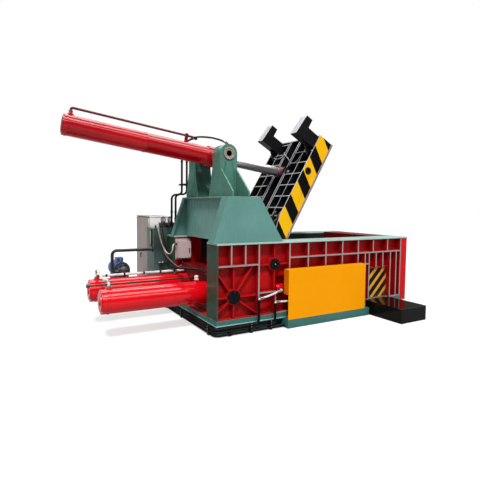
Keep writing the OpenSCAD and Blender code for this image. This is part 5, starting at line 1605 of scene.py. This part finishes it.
@dataclass
class Discharge:
    """Fasteners on the gate, its cover and the discharge table."""

    shop: Workshop
    cover_low: Point = (-0.961, -1.348, 0.156)
    cover_high: Point = (0.919, -1.200, 1.054)
    table_top: float = 0.280
    screws: int = 7
    screw_inset: float = 0.08
    screw_pitch: float = 0.2866

    def build(self) -> None:
        """Makes the cover's screws, the gate's bolts and the table's trim."""
        screws = bmesh.new()
        for index in range(self.screws):
            x = self.cover_low[0] + self.screw_inset + index * self.screw_pitch
            add_turned(screws, (x, -1.222, self.cover_high[2]), UP, (
                (0.0, 0.0), (0.011, 0.0), (0.010, 0.004), (0.006, 0.006), (0.0, 0.0065)), sides=14)
        self.shop.piece("cover_screws", screws, "bolt_steel")
        lugs = bmesh.new()
        for x in (self.cover_low[0] + 0.350, self.cover_low[0] + 1.570):
            add_bead(lugs, (x + 0.002, -1.349, 0.173), (x + 0.034, -1.349, 0.173), radius=0.004, pitch=0.008)
        self.shop.piece("cover_tab_welds", lugs, "cover_orange")
        bolts = bmesh.new()
        add_bolt_ring(bolts, (1.095, -1.040, 0.680), TO_TAIL, radius=0.0475, count=6, across=0.012, start=0.5)
        self.shop.piece("gate_boss_bolts", bolts, "bolt_steel", Body.GATE)
        table = bmesh.new()
        for x in (1.10, 1.748):
            for y in (-2.10, -1.68, -1.26):
                add_button(table, (x, y, self.table_top), UP, radius=0.010, rise=0.0012, slope=0.002,
                           sides=14)
        self.shop.piece("table_screws", table, "dark_iron")


@dataclass
class SidePusher:
    """Fasteners of the side cylinder behind the rear wall."""

    shop: Workshop
    x: float = 1.471
    z: float = 0.585
    flange_y: float = 1.520
    nose_y: float = 1.560
    tail_y: float = 3.400

    def build(self) -> None:
        """Makes the flange bolts, the port unions and their elbows."""
        bolts = bmesh.new()
        add_bolt_ring(bolts, (self.x, self.flange_y, self.z), TO_REAR, radius=0.150, count=10, across=0.026,
                      start=0.5)
        for y in (self.nose_y, self.tail_y):
            add_union(bolts, (self.x, y, self.z + 0.158), UP, radius=0.018)
        self.shop.piece("side_cylinder_bolts", bolts, "bolt_steel")
        for name, y in (("nose", self.nose_y), ("tail", self.tail_y)):
            elbow, top = bmesh.new(), self.z + 0.280
            turn = eased(((self.x, y, self.z + 0.220), (self.x, y, top), (self.x - 0.100, y, top)), steps=7,
                         reach=0.050)
            add_tube(elbow, turn, radius=0.017, sides=16)
            add_rod(elbow, turn[-1], turn[-1] + Vector((-0.014, 0, 0)), radius=0.024, sides=6, chamfer=0.002)
            self.shop.piece(f"side_{name}_elbow", elbow, "pipe_black")


@dataclass
class PowerUnit:
    """Fittings on the tank, the motor and the pump."""

    shop: Workshop
    tank_left: float = -2.565
    tank_middle: float = 1.51
    cap_radius: float = 0.068
    cap_grips: int = 14
    motor_x: float = -3.155
    motor_z: float = 0.800
    grille_spokes: int = 6

    def build(self) -> None:
        """Makes the tank's covers and gauge, the valve coils, and the motor's and pump's fittings."""
        self.covers()
        self.gauge()
        self.valves()
        self.motor()
        self.pump()

    def covers(self) -> None:
        """Makes the round cleaning covers, the drain and the top plate's screws."""
        plates, bolts = bmesh.new(), bmesh.new()
        for place, axis in (((self.tank_left, 1.52, 0.64), TO_TAIL), ((-1.62, 1.76, 0.80), TO_REAR)):
            way = Vector(axis)
            add_turned(plates, place, axis, (
                (0.0, 0.0), (0.190, 0.0), (0.190, 0.012), (0.187, 0.015), (0.130, 0.015), (0.125, 0.011),
                (0.0, 0.011)), sides=40)
            add_bolt_ring(bolts, Vector(place) + way * 0.015, axis, radius=0.165, count=12, across=0.020)
            for offset in (-0.045, 0.045):
                foot = Vector(place) + Vector(UP) * offset
                add_rod(plates, foot + way * 0.010, foot + way * 0.040, radius=0.006, sides=10)
            grip, half = Vector(place) + way * 0.040, Vector(UP) * 0.051
            add_rod(plates, grip - half, grip + half, radius=0.006, sides=10)
        for x in (self.tank_left + 0.02, -1.9, -1.5, -1.085):
            for y in (1.266, 1.754):
                add_bolt(bolts, (x, y, TANK_TOP), UP, across=0.018)
        self.shop.piece("tank_covers", plates, "tank_green")
        self.shop.piece("tank_cover_bolts", bolts, "bolt_steel")
        drain = bmesh.new()
        left = self.tank_left
        add_rod(drain, (left, 1.32, 0.275), (left - 0.07, 1.32, 0.275), radius=0.018, sides=16, chamfer=0.003)
        add_rod(drain, (left - 0.04, 1.32, 0.275), (left - 0.04, 1.32, 0.320), radius=0.010, sides=12)
        add_block(drain, (left - 0.047, 1.30, 0.318), (left - 0.033, 1.40, 0.326), chamfer=0.003)
        self.shop.piece("tank_drain", drain, "dark_iron")

    def gauge(self) -> None:
        """Makes the level gauge's strip, glass and end nuts, and the filler cap."""
        strip, glass, nuts = bmesh.new(), bmesh.new(), bmesh.new()
        x = self.tank_left - 0.030
        add_block(strip, (x - 0.004, 1.386, 1.330), (x + 0.001, 1.424, 1.620), chamfer=0.0015)
        add_block(glass, (x - 0.007, 1.398, 1.350), (x - 0.002, 1.412, 1.600), chamfer=0.0015)
        for z in (1.338, 1.612):
            add_bolt(nuts, (x - 0.004, 1.405, z), TO_TAIL, across=0.016)
        self.shop.piece("gauge_strip", strip, "gauge_yellow")
        self.shop.piece("gauge_tube", glass, "gauge_glass")
        cap = Vector((-1.365, self.tank_middle, TANK_TOP + 0.128))
        radius, grips = self.cap_radius, self.cap_grips
        add_turned(nuts, cap, UP, ((0.0, 0.0), (radius - 0.002, 0.0), (radius, 0.004), (radius, 0.020),
                                   (radius - 0.008, 0.028), (0.0, 0.034)), sides=28)
        for index in range(grips):
            angle = math.tau * index / grips
            spot = cap + Vector((radius * math.cos(angle), radius * math.sin(angle), 0.003))
            add_rod(nuts, spot, spot + Vector(UP) * 0.018, radius=0.004, sides=8)
        add_bolt_ring(nuts, (-1.665, self.tank_middle, TANK_TOP + 0.190), UP, radius=0.056, count=6,
                      across=0.014)
        self.shop.piece("tank_nuts_and_cap", nuts, "bolt_steel")

    def valves(self) -> None:
        """Makes the coils, plugs and nuts of the solenoid valves."""
        coils, plugs, nuts = bmesh.new(), bmesh.new(), bmesh.new()
        for index in range(3):
            x = self.tank_left + 0.250 + 0.150 * index
            place = Vector((x, 1.420, TANK_TOP + 0.110))
            add_ring(coils, place + Vector((0, 0, 0.020)), UP, inner=0.044, outer=0.052, length=0.075,
                     sides=28)
            add_block(plugs, (x - 0.020, 1.358, place.z + 0.035), (x + 0.020, 1.392, place.z + 0.080),
                      chamfer=0.004)
            add_rod(plugs, (x, 1.372, place.z + 0.078), (x, 1.372, place.z + 0.100), radius=0.009, sides=12)
            add_bolt(nuts, place + Vector((0, 0, 0.120)), UP, across=0.026)
            for y in (1.335, 1.505):
                for step in (-0.045, 0.045):
                    add_bolt(nuts, (x + step, y, place.z), UP, across=0.013)
        self.shop.piece("valve_coils", coils, "bolt_steel")
        self.shop.piece("valve_plugs", plugs, "box_grey")
        self.shop.piece("valve_nuts", nuts, "bolt_steel")

    def motor(self) -> None:
        """Makes the motor's end ring, fan grille, eyebolt, lid screws and foot bolts."""
        ring, grille, bolts = bmesh.new(), bmesh.new(), bmesh.new()
        x, z = self.motor_x, self.motor_z
        add_ring(ring, (x, 1.602, z), TO_FRONT, inner=0.132, outer=0.173, length=0.030, sides=48)
        for radius in (0.030, 0.058, 0.086, 0.114, 0.142):
            add_ring(grille, (x, 2.139, z), TO_REAR, inner=radius - 0.004, outer=radius + 0.004, length=0.008,
                     sides=40)
        for index in range(self.grille_spokes):
            turn = Matrix.Rotation(math.tau * index / self.grille_spokes, 4, "Y")
            tip = turn @ Vector((0.150, 0.0, 0.0))
            add_rod(grille, (x, 2.142, z), Vector((x, 2.142, z)) + tip, radius=0.004, sides=8)
        add_bolt_ring(bolts, (x, 1.572, z), TO_FRONT, radius=0.152, count=8, across=0.018, start=0.5)
        for side in SIDES:
            for y in (1.670, 1.940):
                add_bolt(bolts, (x + side * 0.135, y, 0.650), UP, across=0.020)
            for y in (1.750, 1.890):
                add_button(bolts, (x + side * 0.052, y, 1.045), UP, radius=0.008, rise=0.004, slope=0.002,
                           crown=0.001, sides=12)
        add_rod(bolts, (x, 1.66, z + 0.160), (x, 1.66, z + 0.185), radius=0.012, sides=14)
        bead = [(0.020 + 0.006 * math.cos(step * math.tau / 10), 0.006 * math.sin(step * math.tau / 10))
                for step in range(10)]
        add_turned(bolts, (x, 1.66, z + 0.208), TO_END, bead, closed=True, sides=24)
        lid = bmesh.new()
        add_block(lid, (x - 0.072, 1.728, 1.036), (x + 0.072, 1.912, 1.045), chamfer=0.003)
        self.shop.piece("motor_end_ring", ring, "motor_pale")
        self.shop.piece("motor_fan_grille", grille, "motor_blue")
        self.shop.piece("motor_box_lid", lid, "motor_pale")
        self.shop.piece("motor_bolts", bolts, "bolt_steel")

    def pump(self) -> None:
        """Makes the pump's bolts, its cover and the suction flange."""
        bolts, cover = bmesh.new(), bmesh.new()
        x, z = self.motor_x, self.motor_z
        add_bolt_ring(bolts, (x, 1.470, z), TO_FRONT, radius=0.113, count=8, across=0.018)
        dome = ((0.0, 0.0), (0.088, 0.0), (0.088, 0.010), (0.080, 0.016), (0.034, 0.018), (0.030, 0.030),
                (0.0, 0.032))
        add_turned(cover, (x, 1.260, z), TO_FRONT, dome, sides=32)
        add_bolt_ring(bolts, (x, 1.244, z), TO_FRONT, radius=0.066, count=6, across=0.016)
        add_bolt_ring(bolts, (self.tank_left - 0.022, 1.375, 1.235), TO_TAIL, radius=0.044, count=4,
                      across=0.014, start=0.5)
        self.shop.piece("pump_cover", cover, "dark_iron")
        self.shop.piece("pump_bolts", bolts, "bolt_steel")


@dataclass
class Cabinet:
    """Fittings on the control cabinet and the junction box."""

    shop: Workshop
    front: float = -2.524
    left: float = 1.7723
    right: float = 2.7723
    height: float = 1.900
    box_y: float = 0.742
    box_door: float = 0.669
    louvre_pitch: float = 0.030
    louvre_lean: float = 24.0

    def build(self) -> None:
        """Makes the cabinet's roof and plinth, the doors' louvres and the junction box's fittings."""
        self.shell()
        self.shop.piece("near_door_louvres", self.louvres(middle=2.035, low=0.26), "cabinet_grey",
                        Body.DOOR_NEAR)
        self.shop.piece("far_door_louvres", self.louvres(middle=2.51, low=0.26), "cabinet_grey",
                        Body.DOOR_FAR)
        self.junction()

    def shell(self) -> None:
        """Makes the roof plate and the plinth."""
        roof, plinth = bmesh.new(), bmesh.new()
        add_block(roof, (-2.512, self.left - 0.010, self.height),
                  (-2.038, self.right + 0.012, self.height + 0.018), chamfer=0.004)
        self.shop.piece("cabinet_roof", roof, "cabinet_grey")
        add_block(plinth, (-2.504, self.left - 0.004, 0.001), (-2.046, self.right + 0.004, 0.096),
                  chamfer=0.003)
        self.shop.piece("cabinet_plinth", plinth, "pipe_black")

    def louvres(self, middle: float, low: float, count: int = 7) -> Mesh:
        """Returns a field of slanting louvres on a door.

        Args:
            middle: The field's middle across the door.
            low: The height of the lowest louvre.
            count: How many louvres it has.

        Returns:
            The louvres' bmesh.
        """
        mesh = bmesh.new()
        slant = Matrix.Rotation(math.radians(self.louvre_lean), 4, "Y")
        for index in range(count):
            z = low + self.louvre_pitch * index
            add_block(mesh, (self.front - 0.007, middle - 0.11, z),
                      (self.front - 0.001, middle + 0.11, z + 0.020), chamfer=0.0015, turn=slant)
        return mesh

    def junction(self) -> None:
        """Makes the junction box's cable glands and its door's screws and frame."""
        glands, screws = bmesh.new(), bmesh.new()
        for x in (-2.195, -2.135, -2.075):
            add_rod(glands, (x, self.box_y, 1.105), (x, self.box_y, 1.097), radius=0.016, sides=6,
                    chamfer=0.001)
            add_turned(glands, (x, self.box_y, 1.097), DOWN, (
                (0.0, 0.0), (0.013, 0.0), (0.013, 0.014), (0.009, 0.020), (0.0, 0.020)), sides=18)
        self.shop.piece("box_glands", glands, "handle_black")
        for x in (-2.235, -2.001):
            for z in (1.123, 1.427):
                add_button(screws, (x, self.box_door - 0.0005, z), TO_FRONT, radius=0.009, rise=0.003,
                           slope=0.002, crown=0.001, sides=14)
        self.shop.piece("box_door_screws", screws, "bolt_steel", Body.BOX_DOOR)
        lock = bmesh.new()
        add_rod(lock, (-2.020, self.box_door, 1.290), (-2.020, self.box_door - 0.014, 1.290), radius=0.012,
                sides=20, chamfer=0.002)
        add_block(lock, (-2.028, 0.648, 1.205), (-2.012, 0.657, 1.298), chamfer=0.003)
        self.shop.piece("box_door_handle", lock, "handle_black", Body.BOX_DOOR)


@dataclass
class Pipework:
    """Bolts and unions of the rigid pipes."""

    shop: Workshop
    pipe_y: float = -1.242
    rows: tuple[float, ...] = (0.062, 0.114, 0.158)

    def build(self) -> None:
        """Makes the clamps' bolts, the pipes' unions and the upright pipes' clamp."""
        bolts = bmesh.new()
        for x in (LEFT_END + 0.628, LEFT_END + 1.028):
            for z in self.rows:
                add_bolt(bolts, (x, self.pipe_y - 0.030, z), TO_FRONT, across=0.014)
        for y in (-1.012, 0.228, 1.108):
            for z in self.rows:
                add_bolt(bolts, (LEFT_END - 0.075, y, z), TO_TAIL, across=0.014)
        for x in (-2.005, -1.975):
            add_bolt(bolts, (x, 0.98, 2.612), UP, across=0.016)
        self.shop.piece("pipe_clamp_bolts", bolts, "bolt_steel")
        unions = bmesh.new()
        for x, z in ((-1.505, 0.500), (-1.165, 0.410)):
            self.union(unions, (x, self.pipe_y, z), UP)
        for x, y in ((-2.055, 1.000), (-1.925, 1.055)):
            self.union(unions, (x, y, 3.06), UP, radius=0.027)
        for x, y in ((-2.275, 1.000), (-2.170, 1.055)):
            self.union(unions, (x, y, 2.00), UP, radius=0.027)
        self.union(unions, (-2.1, self.pipe_y, 0.036), TO_END)
        self.shop.piece("pipe_unions", unions, "pipe_black")
        clamp = bmesh.new()
        add_block(clamp, (-2.094, 0.962, 2.580), (-1.888, 1.094, 2.600), chamfer=0.004)
        add_block(clamp, (-1.972, 0.720, 2.584), (-1.932, 0.966, 2.596), chamfer=0.002)
        self.shop.piece("upright_pipe_clamp", clamp, "pipe_black")

    def union(self, mesh: Mesh, place: Point, axis: Point, radius: float = 0.034) -> None:
        """Adds a screwed pipe union with its two nuts.

        Args:
            mesh: The bmesh that it goes into.
            place: Where it begins on the pipe.
            axis: The direction along the pipe.
            radius: Its nuts' radius.
        """
        way = Vector(axis)
        here = Vector(place)
        add_rod(mesh, here, here + way * 0.022, radius, sides=6, chamfer=0.003)
        add_rod(mesh, here + way * 0.022, here + way * 0.034, radius=0.82 * radius, sides=20)
        add_rod(mesh, here + way * 0.034, here + way * 0.056, radius, sides=6, chamfer=0.003)


@dataclass
class Dressing:
    """Gives the carried-over nodes their finishes and softened edges."""

    shop: Workshop
    edge_width: float = 0.004
    unsoftened: tuple[str, ...] = ("lid_hoses", "gate_hoses", "main_pipes", "tower_pipes", "base_pipes")

    def build(self) -> None:
        """Dresses every node."""
        for node, finish in NODE_FINISHES.items():
            piece = self.shop.frame["nodes"][node]
            for slot in piece.material_slots:
                slot.material = self.shop.finish(finish)
            if node not in self.unsoftened:
                self.soften(piece)
        LOG.info("dressed %d nodes", len(NODE_FINISHES))

    def soften(self, piece: bpy.types.Object) -> None:
        """Rounds a node's edges with live modifiers, which leave its own vertices as they are.

        Args:
            piece: The node's object.
        """
        weld = piece.modifiers.new("weld", "WELD")
        weld.merge_threshold = 0.00002
        bevel = piece.modifiers.new("edges", "BEVEL")
        bevel.width = self.edge_width
        bevel.segments = 2
        bevel.limit_method = "ANGLE"
        bevel.angle_limit = math.radians(40.0)


def main() -> None:
    """Builds the scene in order."""
    logging.basicConfig(level=logging.INFO, format="%(message)s")
    Camera().build()
    shop = Workshop(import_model())
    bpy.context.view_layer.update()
    Plumbing(shop).build()
    Dressing(shop).build()
    for assembly in (PressBox, Towers, LidCylinder, Lid, MainDrive, Discharge, SidePusher, PowerUnit, Cabinet,
                     Pipework):
        assembly(shop).build()
    Studio().build()


if __name__ == "__main__":
    main()
